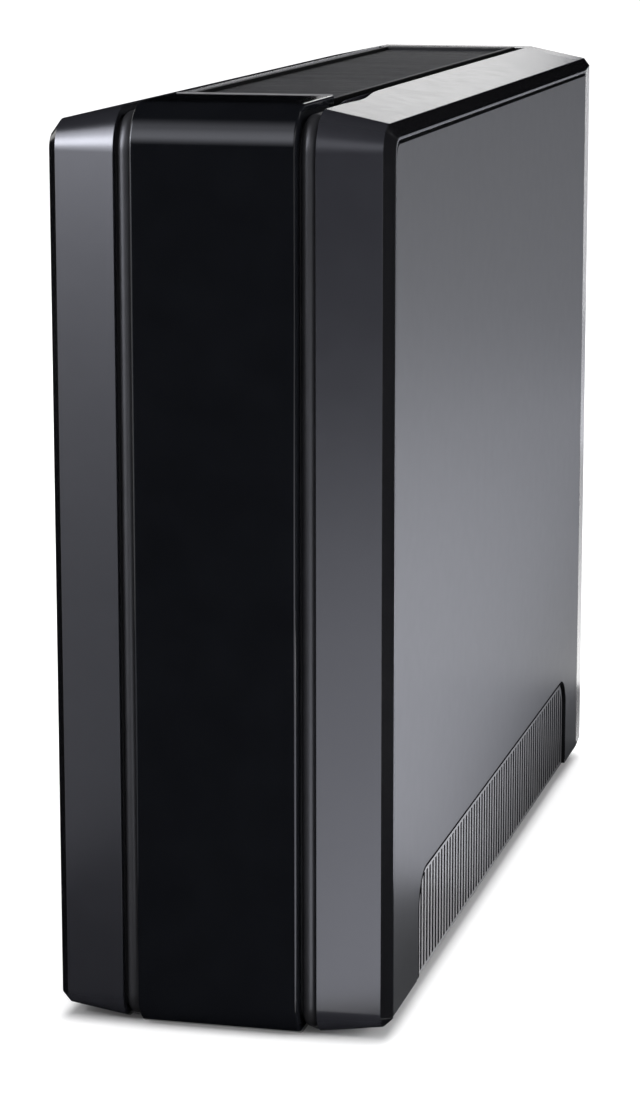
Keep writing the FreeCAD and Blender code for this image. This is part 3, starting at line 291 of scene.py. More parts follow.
@dataclass(frozen=True)
class Finish:
    """A surface finish with real grain, uneven colour and uneven gloss."""

    name: str
    colour: Colour
    roughness: float
    grain: Grain = Grain.SPARKED
    grain_mm: float = 0.45
    grain_depth_mm: float = 0.012
    specular: float = 0.5
    metallic: float = 0.0
    mottle: float = 0.10
    mottle_mm: float = 14.0
    mottle_stretch: Colour = (1.0, 1.0, 1.0)
    gloss_spread: float = 0.04
    edge_mm: float = 0.25

    def grain_height(self, graph: Graph) -> Socket:
        """Make the height of the grain.

        Args:
            graph: The material's node tree.

        Returns:
            The height, about 0 to 1.
        """
        if self.grain is Grain.BRUSHED:
            return graph.noise(self.grain_mm, 2.0, graph.stretched((1.0, 1.0, 0.04)))
        layers = {Grain.SPARKED: 3.0, Grain.PEEL: 0.0, Grain.SOFT: 5.0}
        return graph.noise(self.grain_mm, layers[self.grain])

    def tint(self, graph: Graph) -> Socket:
        """Make the uneven colour: two near shades blended by a broad noise.

        Args:
            graph: The material's node tree.

        Returns:
            The colour.
        """
        darker = tuple(c * (1 - self.mottle) for c in self.colour)
        lighter = tuple(c * (1 + self.mottle) for c in self.colour)
        broad = graph.noise(self.mottle_mm, 4.0, graph.stretched(self.mottle_stretch))
        return graph.between(graph.spread(broad, 0.0, 1.0), darker, lighter)

    def gloss(self, graph: Graph) -> Socket:
        """Make the uneven roughness from a noise half as broad as the colour's.

        Args:
            graph: The material's node tree.

        Returns:
            The roughness.
        """
        low, high = self.roughness - self.gloss_spread, self.roughness + self.gloss_spread
        return graph.spread(graph.noise(self.mottle_mm / 2, 3.0), low, high)

    def smooth_normal(self, graph: Graph) -> Socket:
        """Make the normals that the grain is raised on, soft over the edges."""
        return graph.rounded_edges(self.edge_mm)

    def build(self) -> bpy.types.Material:
        """Build the material.

        Returns:
            The material.
        """
        graph = Graph(self.name)
        sockets = graph.shader.inputs
        sockets["Metallic"].default_value = self.metallic
        sockets["Specular IOR Level"].default_value = self.specular
        graph.link(self.tint(graph), sockets["Base Color"])
        graph.link(self.gloss(graph), sockets["Roughness"])
        grain = graph.bump(self.grain_height(graph), self.grain_depth_mm, self.smooth_normal(graph))
        graph.link(grain, sockets["Normal"])
        return graph.material


@dataclass(frozen=True)
class ShellFinish(Finish):
    """Satin moulded shells whose chamfers are polished, with painted shade that makes them near black."""

    # painted shade: the chamfers' near-black colour stands for the dark that they mirror
    chamfer_painted_shade: Colour = (0.006, 0.006, 0.007)
    chamfer_roughness: float = 0.14
    chamfer_lean: float = 0.72
    chamfer_leeway: float = 0.23
    bend_foot: float = 285.6 * MM
    bend_inner: Pair = (32.5 * MM, 13.7 * MM)
    bend_outer: Pair = (52.8 * MM, 9.5 * MM)
    bend_back: float = -150.0 * MM
    wing_lean: float = 0.2
    front_lean: float = -0.02

    def smooth_normal(self, graph: Graph) -> Socket:
        """Turn the normals evenly over the top front bend, as on a cone.

        A normal's rise there is its height past the bend's foot over the bend's radius, which shrinks from the
        inner edge to the outer one.

        Args:
            graph: The material's node tree.

        Returns:
            The normal.
        """
        place = graph.axes(graph.point)
        across = graph.math("ABSOLUTE", place["X"])
        past = graph.math("SUBTRACT", place["Z"], self.bend_foot)
        radius = graph.mapped(across, self.bend_inner, self.bend_outer)
        rise = graph.math("MINIMUM", graph.math("DIVIDE", past, radius), 1.0)
        level = graph.math("SQRT", graph.math("SUBTRACT", 1.0, graph.math("MULTIPLY", rise, rise)))
        lean = graph.math("MULTIPLY", graph.math("SIGN", place["X"]), self.wing_lean)
        cone = graph.vector(lean, graph.math("MULTIPLY", level, -1.0), rise)
        faces = graph.axes(graph.add("ShaderNodeNewGeometry").outputs["True Normal"])
        bend = graph.math("GREATER_THAN", past, 0.0)
        for part in (graph.math("GREATER_THAN", across, self.bend_inner[0]),
                     graph.math("LESS_THAN", place["Y"], self.bend_back),
                     graph.math("LESS_THAN", faces["Y"], self.front_lean),
                     graph.math("LESS_THAN", graph.lean("X"), self.chamfer_lean - self.chamfer_leeway)):
            bend = graph.math("MULTIPLY", bend, part)
        turned = graph.mix(Blend.VECTOR, bend, super().smooth_normal(graph), cone)
        unit = graph.add("ShaderNodeVectorMath", operation="NORMALIZE")
        graph.link(turned, unit.inputs[0])
        return unit.outputs["Vector"]

    def chamfer(self, graph: Graph) -> Socket:
        """Mark the chamfers, which carry the painted shade and the polish, by how far their faces lean to the side.

        Args:
            graph: The material's node tree.

        Returns:
            1 on the chamfers and 0 elsewhere.
        """
        return graph.math("COMPARE", graph.lean("X"), self.chamfer_lean, self.chamfer_leeway)

    def tint(self, graph: Graph) -> Socket:
        """Make the satin colour, with painted shade darkening the chamfers.

        Args:
            graph: The material's node tree.

        Returns:
            The colour.
        """
        return graph.between(self.chamfer(graph), super().tint(graph), self.chamfer_painted_shade)

    def gloss(self, graph: Graph) -> Socket:
        """Make the satin roughness, with the chamfers polished.

        Args:
            graph: The material's node tree.

        Returns:
            The roughness.
        """
        return graph.mix(Blend.FLOAT, self.chamfer(graph), super().gloss(graph), self.chamfer_roughness)


@dataclass(frozen=True)
class SlottedFinish(Finish):
    """A moulding with slots, whose walls are painted dark as shade."""

    open_axis: str = "Z"
    open_lean: float = 0.7
    # painted shade: near black on the slot walls, where shade falls
    wall_painted_shade: Colour = (0.002, 0.002, 0.0024)

    def tint(self, graph: Graph) -> Socket:
        """Make the colour, with painted shade on the faces that turn away from the open side.

        Args:
            graph: The material's node tree.

        Returns:
            The colour.
        """
        walls = graph.math("LESS_THAN", graph.lean(self.open_axis), self.open_lean)
        return graph.between(walls, self.face_tint(graph), self.wall_painted_shade)

    def face_tint(self, graph: Graph) -> Socket:
        """Make the colour of the open faces."""
        return super().tint(graph)


@dataclass(frozen=True)
class SideFinish(SlottedFinish):
    """The side panels, with a painted highlight on the ribs and border of the vent field."""

    open_axis: str = "X"
    # painted highlight: the field's ribs and border, fading from the front to the rear
    front_rib_highlight: Colour = (0.28, 0.28, 0.29)
    rear_rib_highlight: Colour = (0.08, 0.08, 0.084)
    field_middle: float = 3.5 * MM
    field_half: float = 144.0 * MM
    field_top: float = 43.4 * MM
    field_radius: float = 12.0 * MM

    def face_tint(self, graph: Graph) -> Socket:
        """Make the panel's colour, and inside the field's rounded outline a painted highlight, paler at the front
        than at the rear.

        Args:
            graph: The material's node tree.

        Returns:
            The colour.
        """
        place = graph.axes(graph.point)
        off_middle = graph.math("ABSOLUTE", graph.math("SUBTRACT", place["Y"], self.field_middle))
        past_side = graph.math("SUBTRACT", off_middle, self.field_half - self.field_radius)
        past_top = graph.math("SUBTRACT", place["Z"], self.field_top - self.field_radius)
        past = graph.vector(0.0, graph.math("MAXIMUM", past_side, 0.0), graph.math("MAXIMUM", past_top, 0.0))
        inside = graph.math("LESS_THAN", graph.length(past), self.field_radius)
        front, rear = self.field_middle - self.field_half, self.field_middle + self.field_half
        along = graph.mapped(place["Y"], (front, 0.0), (rear, 1.0))
        painted_rib_light = graph.between(along, self.front_rib_highlight, self.rear_rib_highlight)
        return graph.between(inside, super().face_tint(graph), painted_rib_light)


@dataclass(frozen=True)
class SmoothShading:
    """Modifiers that merge a CAD node's loose facets and shade them as the curves that they stand for."""

    sharp_angle: float = 30.0
    merge_distance: float = 0.001 * MM

    def group(self) -> bpy.types.NodeTree:
        """Build the node group once: merge the facets, then keep only edges past the sharp angle sharp.

        Returns:
            The node group.
        """
        name = "smooth_by_angle"
        if name in bpy.data.node_groups:
            return bpy.data.node_groups[name]
        tree = bpy.data.node_groups.new(name, "GeometryNodeTree")
        for way in ("INPUT", "OUTPUT"):
            tree.interface.new_socket("Geometry", in_out=way, socket_type="NodeSocketGeometry")
        merge = tree.nodes.new("GeometryNodeMergeByDistance")
        merge.inputs["Distance"].default_value = self.merge_distance
        faces = tree.nodes.new("GeometryNodeSetShadeSmooth")
        edges = tree.nodes.new("GeometryNodeSetShadeSmooth")
        edges.domain = "EDGE"
        edges.inputs["Shade Smooth"].default_value = False
        angle = tree.nodes.new("GeometryNodeInputMeshEdgeAngle")
        past = tree.nodes.new("ShaderNodeMath")
        past.operation = "GREATER_THAN"
        past.inputs[1].default_value = math.radians(self.sharp_angle)
        start, end = tree.nodes.new("NodeGroupInput"), tree.nodes.new("NodeGroupOutput")
        for source, target in (
                (start.outputs[0], merge.inputs["Geometry"]), (merge.outputs[0], faces.inputs["Geometry"]),
                (faces.outputs[0], edges.inputs["Geometry"]), (edges.outputs[0], end.inputs[0]),
                (angle.outputs["Unsigned Angle"], past.inputs[0]), (past.outputs[0], edges.inputs["Selection"])):
            tree.links.new(source, target)
        return tree

    def apply(self, node: bpy.types.Object) -> None:
        """Put the modifiers on a CAD node, with flat faces ruling the normals beside them.

        Args:
            node: The CAD node.
        """
        node.modifiers.new("smooth_by_angle", "NODES").node_group = self.group()
        weighted = node.modifiers.new("weighted_normals", "WEIGHTED_NORMAL")
        weighted.mode = "FACE_AREA_WITH_ANGLE"
        weighted.weight = 50
        weighted.keep_sharp = True


def coat(nodes: list[str], finish: Finish) -> None:
    """Give one finish and smooth shading to CAD nodes.

    Args:
        nodes: The nodes' names.
        finish: Their finish.
    """
    material = finish.build()
    for name in nodes:
        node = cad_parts[name]
        node.data.materials.clear()
        node.data.materials.append(material)
        SmoothShading().apply(node)
        log.info("%s: %s", name, finish.name)


def new_piece(name: str, points: np.ndarray, faces: list, material: bpy.types.Material,
              body: str = HOUSING) -> bpy.types.Object:
    """Put a surface into the scene and hang it on a body.

    Args:
        name: The piece's name.
        points: Its vertices in metres, one row each.
        faces: Its faces as vertex numbers.
        material: Its material.
        body: The CAD body that it rides on.

    Returns:
        The new object.
    """
    mesh = bpy.data.meshes.new(name)
    mesh.from_pydata(points.tolist(), [], faces)
    mesh.update()
    mesh.shade_smooth()
    mesh.materials.append(material)
    piece = bpy.data.objects.new(name, mesh)
    bpy.context.scene.collection.objects.link(piece)
    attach(piece, body)
    log.info("%s: %d faces", name, len(faces))
    return piece


@dataclass
class Housing:
    """The moulded outside: shells, side panels, centre panel, groove beads, grille and rear frame."""

    shells: Finish = ShellFinish("satin_shell", (0.021, 0.0215, 0.027), 0.24, specular=0.7, mottle=0.03,
                                 gloss_spread=0.008, grain_depth_mm=0.0015)
    sides: SideFinish = SideFinish("matt_side", (0.040, 0.041, 0.044), 0.40, specular=0.2, mottle=0.03,
                                   gloss_spread=0.008, grain_depth_mm=0.003)
    panel: Finish = Finish("piano_gloss", (0.0056, 0.0061, 0.0078), 0.06, grain=Grain.PEEL, grain_mm=3.0,
                           grain_depth_mm=0.0008, gloss_spread=0.01, edge_mm=0.3)
    beads: Finish = Finish("satin_bead", (0.022, 0.022, 0.025), 0.42, grain=Grain.PEEL, grain_mm=3.0,
                           grain_depth_mm=0.001, specular=0.7, gloss_spread=0.02, edge_mm=0.1)
    grille: Finish = SlottedFinish("matt_grille", (0.064, 0.064, 0.068), 0.58, specular=0.25, edge_mm=0.2,
                                   mottle=0.45, mottle_mm=6.0, mottle_stretch=(0.02, 1.0, 1.0))
    # painted highlight: the lip's pale colour stands for a glint along the grille's front edge
    lip: Finish = Finish("painted_highlight_lip", (0.26, 0.26, 0.27), 0.25, grain=Grain.PEEL, grain_depth_mm=0.002)
    lip_half: float = 26.0 * MM
    lip_deep: float = 1.6 * MM
    lip_high: float = 1.3 * MM
    lip_setback: float = 0.55
    lip_steps: int = 24
    # painted shadow: a black strip where the vent field's outline lies in shade
    line: Finish = Finish("shadow_line", (0.003, 0.003, 0.0034), 0.9, specular=0.02)
    line_width: float = 0.7 * MM
    line_height: float = 0.12 * MM
    line_sink: float = 0.015 * MM
    line_foot: float = 8.3 * MM
    line_steps: int = 16
    side_face: float = 56.0 * MM
    inside: Finish = Finish("inner_frame", (0.014, 0.014, 0.015), 0.6, specular=0.3)

    def build_lip(self) -> None:
        """Lay the lip on the grille's front rail: a half ellipse over a flat foot, drawn out across the pack; its
        pale colour is a painted highlight.
        """
        low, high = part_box("top_grille")
        turn = np.linspace(0, np.pi, self.lip_steps)
        along = low.y + self.lip_deep * (self.lip_setback + np.cos(turn) / 2)
        up = high.z + self.lip_high * np.sin(turn)
        rings = [np.stack([np.full_like(turn, x), along, up], 1) for x in (self.lip_half, -self.lip_half)]
        right = np.arange(self.lip_steps)
        after = np.roll(right, -1)
        walls = np.stack([right, right + self.lip_steps, after + self.lip_steps, after], 1)
        ends = [right.tolist(), (right + self.lip_steps)[::-1].tolist()]
        faces = walls.tolist() + ends
        lip = new_piece("grille_front_lip", np.vstack(rings), faces, self.lip.build())
        SmoothShading().apply(lip)

    def build_vent_lines(self) -> None:
        """Lay a black line round each vent field, a painted shadow for the outline's groove: a flat strip up the
        front, over two arcs and down the rear.
        """
        turn = np.linspace(np.pi, 0, 2 * self.line_steps)
        middle, straight = self.sides.field_middle, self.sides.field_half - self.sides.field_radius
        centre = np.where(turn > np.pi / 2, middle - straight, middle + straight)
        rows = []
        for reach in (self.sides.field_radius, self.sides.field_radius + self.line_width):
            along = centre + reach * np.cos(turn)
            up = self.sides.field_top - self.sides.field_radius + reach * np.sin(turn)
            rows.append(np.stack([np.r_[along[0], along, along[-1]], np.r_[self.line_foot, up, self.line_foot]], 1))
        count = len(rows[0])
        material = self.line.build()
        for name, side, body in (("right_vent_shadow_line", 1, "battery_cover"), ("left_vent_shadow_line", -1, HOUSING)):
            face = self.side_face * side
            depths = (face - side * self.line_sink, face + side * self.line_height)
            inner, outer = rows
            loops = [np.insert(row, 0, depth, axis=1) for row, depth in
                     ((inner, depths[0]), (outer, depths[0]), (outer, depths[1]), (inner, depths[1]))]
            here = np.arange(4)[:, None] * count + np.arange(count - 1)
            after = np.roll(np.arange(4), -1)[:, None] * count + np.arange(count - 1)
            walls = np.stack([here, here + 1, after + 1, after], 2).reshape(-1, 4)
            ends = np.stack([np.arange(4) * count, np.arange(4)[::-1] * count + count - 1])
            faces = np.vstack([walls, ends])[:, ::side]
            line = new_piece(name, np.vstack(loops), faces.tolist(), material, body)
            SmoothShading().apply(line)

    def dress(self) -> None:
        """Give each moulding its finish."""
        coat(["left_shell", "right_shell", "rear_bezel"], self.shells)
        coat(["battery_cover", "left_side_panel"], self.sides)
        coat(["front_panel"], self.panel)
        coat(["left_groove_trim", "right_groove_trim"], self.beads)
        coat(["top_grille"], self.grille)
        coat(["centre_frame", "battery_cradle", "fuse_block"], self.inside)


@dataclass
class RearFace:
    """The rear panel with its socket and four screws."""

    head_radius: float = 3.0 * MM
    rim_height: float = 0.7 * MM
    crown_steps: int = 30
    crown_power: float = 0.8
    recess_reach: float = 1.7 * MM
    recess_half_width: float = 0.42 * MM
    recess_depth: float = 1.1 * MM
    recess_slope: float = 0.16 * MM
    recess_floor: float = 0.1 * MM
    shank_radius: float = 1.6 * MM
    thread_pitch: float = 1.0 * MM
    thread_depth: float = 0.22 * MM
    thread_steps: int = 6
    spokes: int = 72
    panel: Finish = Finish("powder_coat", (0.040, 0.041, 0.045), 0.5, grain=Grain.PEEL, grain_mm=1.1,
                           grain_depth_mm=0.03)
    socket: Finish = Finish("socket_plastic", (0.18, 0.19, 0.20), 0.45)
    blades: Finish = Finish("bare_contact", (0.70, 0.55, 0.28), 0.28, grain=Grain.BRUSHED, grain_mm=0.3,
                            grain_depth_mm=0.004, metallic=1.0)
    steel: Finish = Finish("blackened_steel", (0.10, 0.10, 0.11), 0.38, grain=Grain.SOFT, grain_mm=0.5,
                           grain_depth_mm=0.004, metallic=1.0, edge_mm=0.05)

    def head_profile(self, height: float) -> np.ndarray:
        """Draw a pan head from its crown to its rim: a quarter ellipse over a short straight wall.

        Args:
            height: The head's full height.

        Returns:
            Radius and height of each point.
        """
        turn = np.linspace(0, np.pi / 2, self.crown_steps)[1:]
        crown = np.stack([np.sin(turn), np.cos(turn) ** self.crown_power], 1)
        crown = crown * [self.head_radius, height - self.rim_height] + [0, self.rim_height]
        return np.vstack([crown, [[self.head_radius, 0.0]]])

    def cross(self, across: np.ndarray, along: np.ndarray) -> np.ndarray:
        """Give the depth of the cross recess: two crossed bars with sloping walls.

        Args:
            across: Place of each point across the head.
            along: Place of each point at right angles to that.

        Returns:
            How far each point is sunk.
        """
        def bar(narrow: np.ndarray, long: np.ndarray) -> np.ndarray:
            """Give the share of full depth in one bar, from its distance inside the bar's edges."""
            inside = np.minimum(self.recess_half_width - np.abs(narrow), self.recess_reach - np.abs(long))
            return np.clip(inside / self.recess_slope, 0, 1)
        return self.recess_depth * np.maximum(bar(across, along), bar(along, across))

    def screw(self, height: float, length: float) -> tuple[np.ndarray, list]:
        """Revolve one screw: head with a cross recess, then a shank whose radius waves along a helix.

        Args:
            height: The head's height.
            length: The shank's length.

        Returns:
            Points with the axis along Z and the seat at 0, and the faces.
        """
        head = self.head_profile(height)
        shank_heights = np.arange(0, length - self.shank_radius, self.thread_pitch / self.thread_steps)
        shank = np.stack([np.full_like(shank_heights, self.shank_radius), -shank_heights], 1)
        profile = np.vstack([head, shank])
        angle = np.linspace(0, 2 * np.pi, self.spokes, endpoint=False)
        radius = np.repeat(profile[:, :1], self.spokes, 1)
        level = np.repeat(profile[:, 1:], self.spokes, 1)
        thread = np.cos(2 * np.pi * level / self.thread_pitch + angle) - 1
        radius = radius + np.where(level < -self.thread_pitch, thread * self.thread_depth / 2, 0)
        x, y = radius * np.cos(angle), radius * np.sin(angle)
        level = np.where(level > 0, np.maximum(level - self.cross(x, y), self.recess_floor), level)
        rings = np.stack([x, y, level], 2).reshape(-1, 3)
        centre = [[0, 0, height - self.recess_depth], [0, 0, -length]]
        points = np.vstack([rings, centre])
        rows = len(profile)
        here = np.arange(rows - 1)[:, None] * self.spokes + np.arange(self.spokes)
        turn = np.roll(np.arange(self.spokes), -1)
        after = np.arange(rows - 1)[:, None] * self.spokes + turn
        sides = np.stack([here, here + self.spokes, after + self.spokes, after], 2).reshape(-1, 4)
        first, last = np.arange(self.spokes), (rows - 1) * self.spokes + np.arange(self.spokes)
        crown = np.stack([np.full(self.spokes, len(rings)), first, turn], 1)
        tip = np.stack([np.full(self.spokes, len(rings) + 1), np.roll(last, -1), last], 1)
        return points, sides.tolist() + crown.tolist() + tip.tolist()

    def build_screws(self) -> None:
        """Set four screws where the CAD screws are, and let them stand for those."""
        low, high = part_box("rear_screws")
        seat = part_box("rear_panel")[1].y
        points, faces = self.screw(high.y - seat, seat - low.y)
        count = len(points)
        outward = np.stack([-points[:, 0], points[:, 2], points[:, 1]], 1)
        places = [(x, z) for x in (low.x + self.head_radius, high.x - self.head_radius)
                  for z in (low.z + self.head_radius, high.z - self.head_radius)]
        all_points = np.vstack([outward + [x, seat, z] for x, z in places])
        all_faces = [[v + i * count for v in face] for i in range(len(places)) for face in faces]
        screws = new_piece("rear_screw_set", all_points, all_faces, self.steel.build())
        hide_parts("rear_screws")

    def dress(self) -> None:
        """Give the panel, the socket and its blades their finishes."""
        coat(["rear_panel"], self.panel)
        coat(["dc_socket"], self.socket)
        coat(["dc_contacts"], self.blades)


@dataclass
class BatteryBay:
    """What the covers hide: batteries, tabs, straps, fuse board and leads."""

    case: Finish = Finish("battery_case", (0.09, 0.09, 0.10), 0.5)
    tin: Finish = Finish("tin_plate", (0.62, 0.62, 0.60), 0.32, grain=Grain.BRUSHED, grain_mm=0.3,
                         grain_depth_mm=0.004, metallic=1.0)
    vinyl: Finish = Finish("red_vinyl", (0.55, 0.07, 0.05), 0.36, grain=Grain.SOFT)
    film: Finish = Finish("strap_film", (0.75, 0.74, 0.70), 0.3, grain=Grain.BRUSHED, grain_mm=0.5)
    board: Finish = Finish("solder_mask", (0.05, 0.22, 0.09), 0.35, grain=Grain.PEEL, grain_mm=1.5,
                           mottle=0.25, mottle_mm=3.0)
    fuse: Finish = Finish("fuse_plastic", (0.80, 0.32, 0.05), 0.25, grain=Grain.PEEL, grain_mm=2.0)
    red: Finish = Finish("red_insulation", (0.55, 0.03, 0.03), 0.42, grain=Grain.SOFT)
    black: Finish = Finish("black_insulation", (0.02, 0.02, 0.02), 0.45, grain=Grain.SOFT)

    def dress(self) -> None:
        """Give each inner piece its finish."""
        pairs = [f"{bay}_{level}_battery" for bay in ("front", "rear") for level in ("lower", "upper")]
        coat(pairs, self.case)
        coat(["terminal_tabs"], self.tin)
        coat(["terminal_sleeves"], self.vinyl)
        coat(["front_pull_strap", "rear_pull_strap"], self.film)
        coat(["fuse_board"], self.board)
        coat(["blade_fuse"], self.fuse)
        coat([f"{run}_positive_lead" for run in ("front", "rear", "output")], self.red)
        coat([f"{run}_negative_lead" for run in ("front", "rear", "output")], self.black)
        coat(["front_series_link", "rear_series_link"], self.black)


@dataclass
class Feet:
    """The four rubber feet."""

    rubber: Finish = Finish("foot_rubber", (0.015, 0.015, 0.016), 0.8, grain=Grain.SOFT, grain_mm=0.8,
                            grain_depth_mm=0.03, specular=0.3)

    def dress(self) -> None:
        """Give the feet their rubber."""
        coat(["rubber_feet"], self.rubber)


@dataclass(frozen=True)
class Softbox:
    """A rectangular soft light aimed at a point; the cards stand for it in mirrored rays."""

    name: str
    place: Colour
    aim: Colour
    width: float
    height: float
    watts: float

    def build(self) -> None:
        """Hang the light."""
        lamp = bpy.data.lights.new(self.name, "AREA")
        lamp.shape = "RECTANGLE"
        lamp.size, lamp.size_y = self.width, self.height
        lamp.energy = self.watts
        holder = bpy.data.objects.new(self.name, lamp)
        holder.location = self.place
        holder.visible_camera = False
        holder.visible_glossy = False
        holder.rotation_euler = (Vector(self.aim) - Vector(self.place)).to_track_quat("-Z", "Y").to_euler()
        bpy.context.scene.collection.objects.link(holder)


@dataclass(frozen=True)
class Card:
    """An upright or level card that only mirrored rays see, graded one way; with no peak it is a black flag."""

    name: str
    low: Colour
    high: Colour
    peak: float = 0.0
    way: Colour = (0.0, 0.0, 1.0)
    ramp: tuple[Pair, ...] = ((0.0, 1.0), (1.0, 1.0))
    tint: Colour = (0.95, 0.97, 1.08)

    def corners(self) -> list[Colour]:
        """Give the corners of the card, which spans two corners of a box that is flat along one axis.

        Returns:
            The corners, in order round the card.
        """
        (x0, y0, z0), (x1, y1, z1) = self.low, self.high
        if z0 == z1:
            return [(x0, y0, z0), (x1, y0, z0), (x1, y1, z0), (x0, y1, z0)]
        return [(x0, y0, z0), (x1, y1, z0), (x1, y1, z1), (x0, y0, z1)]

    def light(self) -> bpy.types.Material:
        """Make the card's glow: its peak times a soft ramp, whose stops are metres along the way it is graded.

        Returns:
            The material.
        """
        graph = Graph(self.name)
        along = graph.add("ShaderNodeVectorMath", operation="DOT_PRODUCT")
        along.inputs[1].default_value = self.way
        graph.link(graph.point, along.inputs[0])
        first, last = self.ramp[0][0], self.ramp[-1][0]
        share = graph.mapped(along.outputs["Value"], (first, 0.0), (last, 1.0))
        stops = graph.add("ShaderNodeValToRGB")
        stops.color_ramp.interpolation = "EASE"
        while len(stops.color_ramp.elements) < len(self.ramp):
            stops.color_ramp.elements.new(0.5)
        for stop, (place, level) in zip(stops.color_ramp.elements, self.ramp):
            stop.position = (place - first) / (last - first)
            stop.color = (*(level * c for c in self.tint), 1.0)
        graph.link(share, stops.inputs["Fac"])
        sockets = graph.shader.inputs
        sockets["Base Color"].default_value = (0.0, 0.0, 0.0, 1.0)
        sockets["Specular IOR Level"].default_value = 0.0
        sockets["Emission Strength"].default_value = self.peak
        graph.link(stops.outputs["Color"], sockets["Emission Color"])
        return graph.material

    def build(self) -> None:
        """Stand the card in the studio."""
        mesh = bpy.data.meshes.new(self.name)
        mesh.from_pydata(self.corners(), [], [(0, 1, 2, 3)])
        mesh.materials.append(self.light())
        card = bpy.data.objects.new(self.name, mesh)
        bpy.context.scene.collection.objects.link(card)
        card.visible_camera = False
        card.visible_diffuse = False
        card.visible_transmission = False
        card.visible_shadow = False


@dataclass
class Studio:
    """A plain pale floor, white surroundings, soft lights, cards for the mirrored rays and the camera."""

    floor_half: float = 14.0
    floor_colour: Colour = (0.86, 0.86, 0.87)
    floor_shade: Colour = (0.8471, 0.8471, 0.85695)
    floor_mottle_mm: float = 60.0
    near_lift: float = 0.50
    far_lift: float = 0.65
    far_away: float = 2.0
    footprint: Pair = (0.0525, 0.179)
    # painted shadow: the floor's lift drops by this much at the base, fading over the reach
    painted_shadow_depth: float = 0.50
    painted_shadow_reach: Pair = (0.005, 0.011)
    ambient: float = 0.55
    camera_place: Colour = (0.28123, -1.19593, 0.37391)
    camera_pitch: float = 11.487
    camera_yaw: float = 13.788
    camera_roll: float = 0.035
    lens: float = 110.72
    sensor: float = 36.0
    boxes: list[Softbox] = field(default_factory=lambda: [
        Softbox("front_left_light", (-0.66, -1.07, 0.84), (-0.04, -0.19, 0.29), 0.46, 0.26, 3.0),
        Softbox("top_light", (0.0, 0.3, 1.7), (0.0, 0.0, 0.2), 1.2, 1.2, 10.0),
        Softbox("back_light", (-0.20, 1.6, 1.0), (0.0, 0.0, 0.3), 0.4, 0.8, 3.0),
        Softbox("side_light", (0.62, -0.30, 0.20), (0.056, -0.10, 0.15), 0.3, 0.3, 3.0),
    ])
    cards: list[Card] = field(default_factory=lambda: [
        Card("front_left_card", (-0.60, -0.65, 0.0), (-0.21, -0.65, 0.36), 5.0,
             ramp=((0.0, 0.08), (0.14, 0.18), (0.36, 1.0))),
        Card("front_middle_flag", (-0.21, -0.65, 0.0), (-0.01, -0.65, 0.36)),
        Card("front_right_card", (-0.01, -0.65, 0.0), (0.40, -0.65, 0.36), 1.8, ramp=((0.0, 1.0), (0.18, 0.0))),
        Card("floor_left_card", (-0.60, -0.65, 0.002), (-0.17, -0.20, 0.002), 0.5),
        Card("floor_middle_flag", (-0.17, -0.65, 0.002), (0.03, -0.20, 0.002)),
        Card("toe_flag", (-0.14, -0.206, 0.0025), (0.06, 0.20, 0.0025)),
        Card("floor_right_card", (0.03, -0.65, 0.002), (0.40, -0.22, 0.002), 2.6, (0.0, 1.0, 0.0),
             ((-0.65, 0.7), (-0.22, 1.0))),
        Card("left_bend_card", (-1.20, -0.95, 0.36), (-0.46, -0.95, 1.35), 17.0,
             ramp=((0.36, 0.28), (0.66, 1.0), (1.35, 0.45))),
        Card("left_high_card", (-1.20, -0.95, 1.34), (-0.46, -0.30, 1.34), 7.7, (0.0, 1.0, 0.0),
             ((-0.95, 1.0), (-0.30, 0.0))),
        Card("middle_bend_card", (-0.46, -0.95, 0.36), (0.02, -0.95, 1.35), 2.4,
             ramp=((0.36, 0.0), (0.72, 1.0), (1.35, 0.5))),
        Card("middle_high_card", (-0.46, -0.95, 1.34), (0.02, -0.30, 1.34), 1.2, (0.0, 1.0, 0.0),
             ((-0.95, 1.0), (-0.30, 0.0))),
        Card("right_bend_card", (0.02, -0.95, 0.36), (0.80, -0.95, 1.35), 1.0,
             ramp=((0.36, 0.0), (0.72, 1.0), (1.20, 0.0))),
        Card("right_flag", (0.60, -0.50, 0.0), (0.60, 0.30, 0.45)),
        Card("right_floor_flag", (0.06, -0.21, 0.003), (0.60, -0.02, 0.003)),
        Card("right_high_flag", (1.0, -0.10, 0.50), (1.0, 0.80, 1.35)),
        Card("left_floor_flag", (-1.30, -0.20, 0.002), (-0.06, 0.75, 0.002)),
        Card("left_flag", (-1.30, -0.20, 0.0), (-1.30, 1.20, 0.40)),
        Card("back_flag", (-1.60, 1.63, 0.0), (1.40, 1.63, 1.50)),
        Card("back_bank", (-0.41, 1.61, 0.44), (-0.13, 1.61, 0.74), 2.05, tint=(1.0, 1.0, 1.0)),
        Card("back_rim_card", (-0.13, 1.61, 0.50), (0.0, 1.61, 0.86), 0.35),
        Card("back_strip_card", (0.04, 1.61, 0.0), (0.11, 1.61, 0.32), 4.0, tint=(1.0, 1.0, 1.0)),
        Card("strip_floor_card", (0.058, 0.30, 0.003), (0.090, 1.61, 0.003), 2.5, tint=(1.0, 1.0, 1.0)),
        Card("back_right_card", (0.10, 1.62, 0.0), (1.40, 1.62, 0.45), 0.48, ramp=((0.15, 1.0), (0.45, 0.0))),
        Card("side_floor_card", (0.06, -0.02, 0.002), (1.20, 0.95, 0.002), 2.35, (1.0, -0.17, 0.0),
             ((0.05, 0.0), (0.115, 1.0))),
        Card("far_floor_card", (0.06, 0.95, 0.002), (1.20, 1.61, 0.002), 1.1, (0.0, 1.0, 0.0),
             ((0.95, 0.9), (1.60, 0.4))),
        Card("overhead_flag", (-1.5, -0.95, 1.35), (1.5, 1.63, 1.35)),
    ])

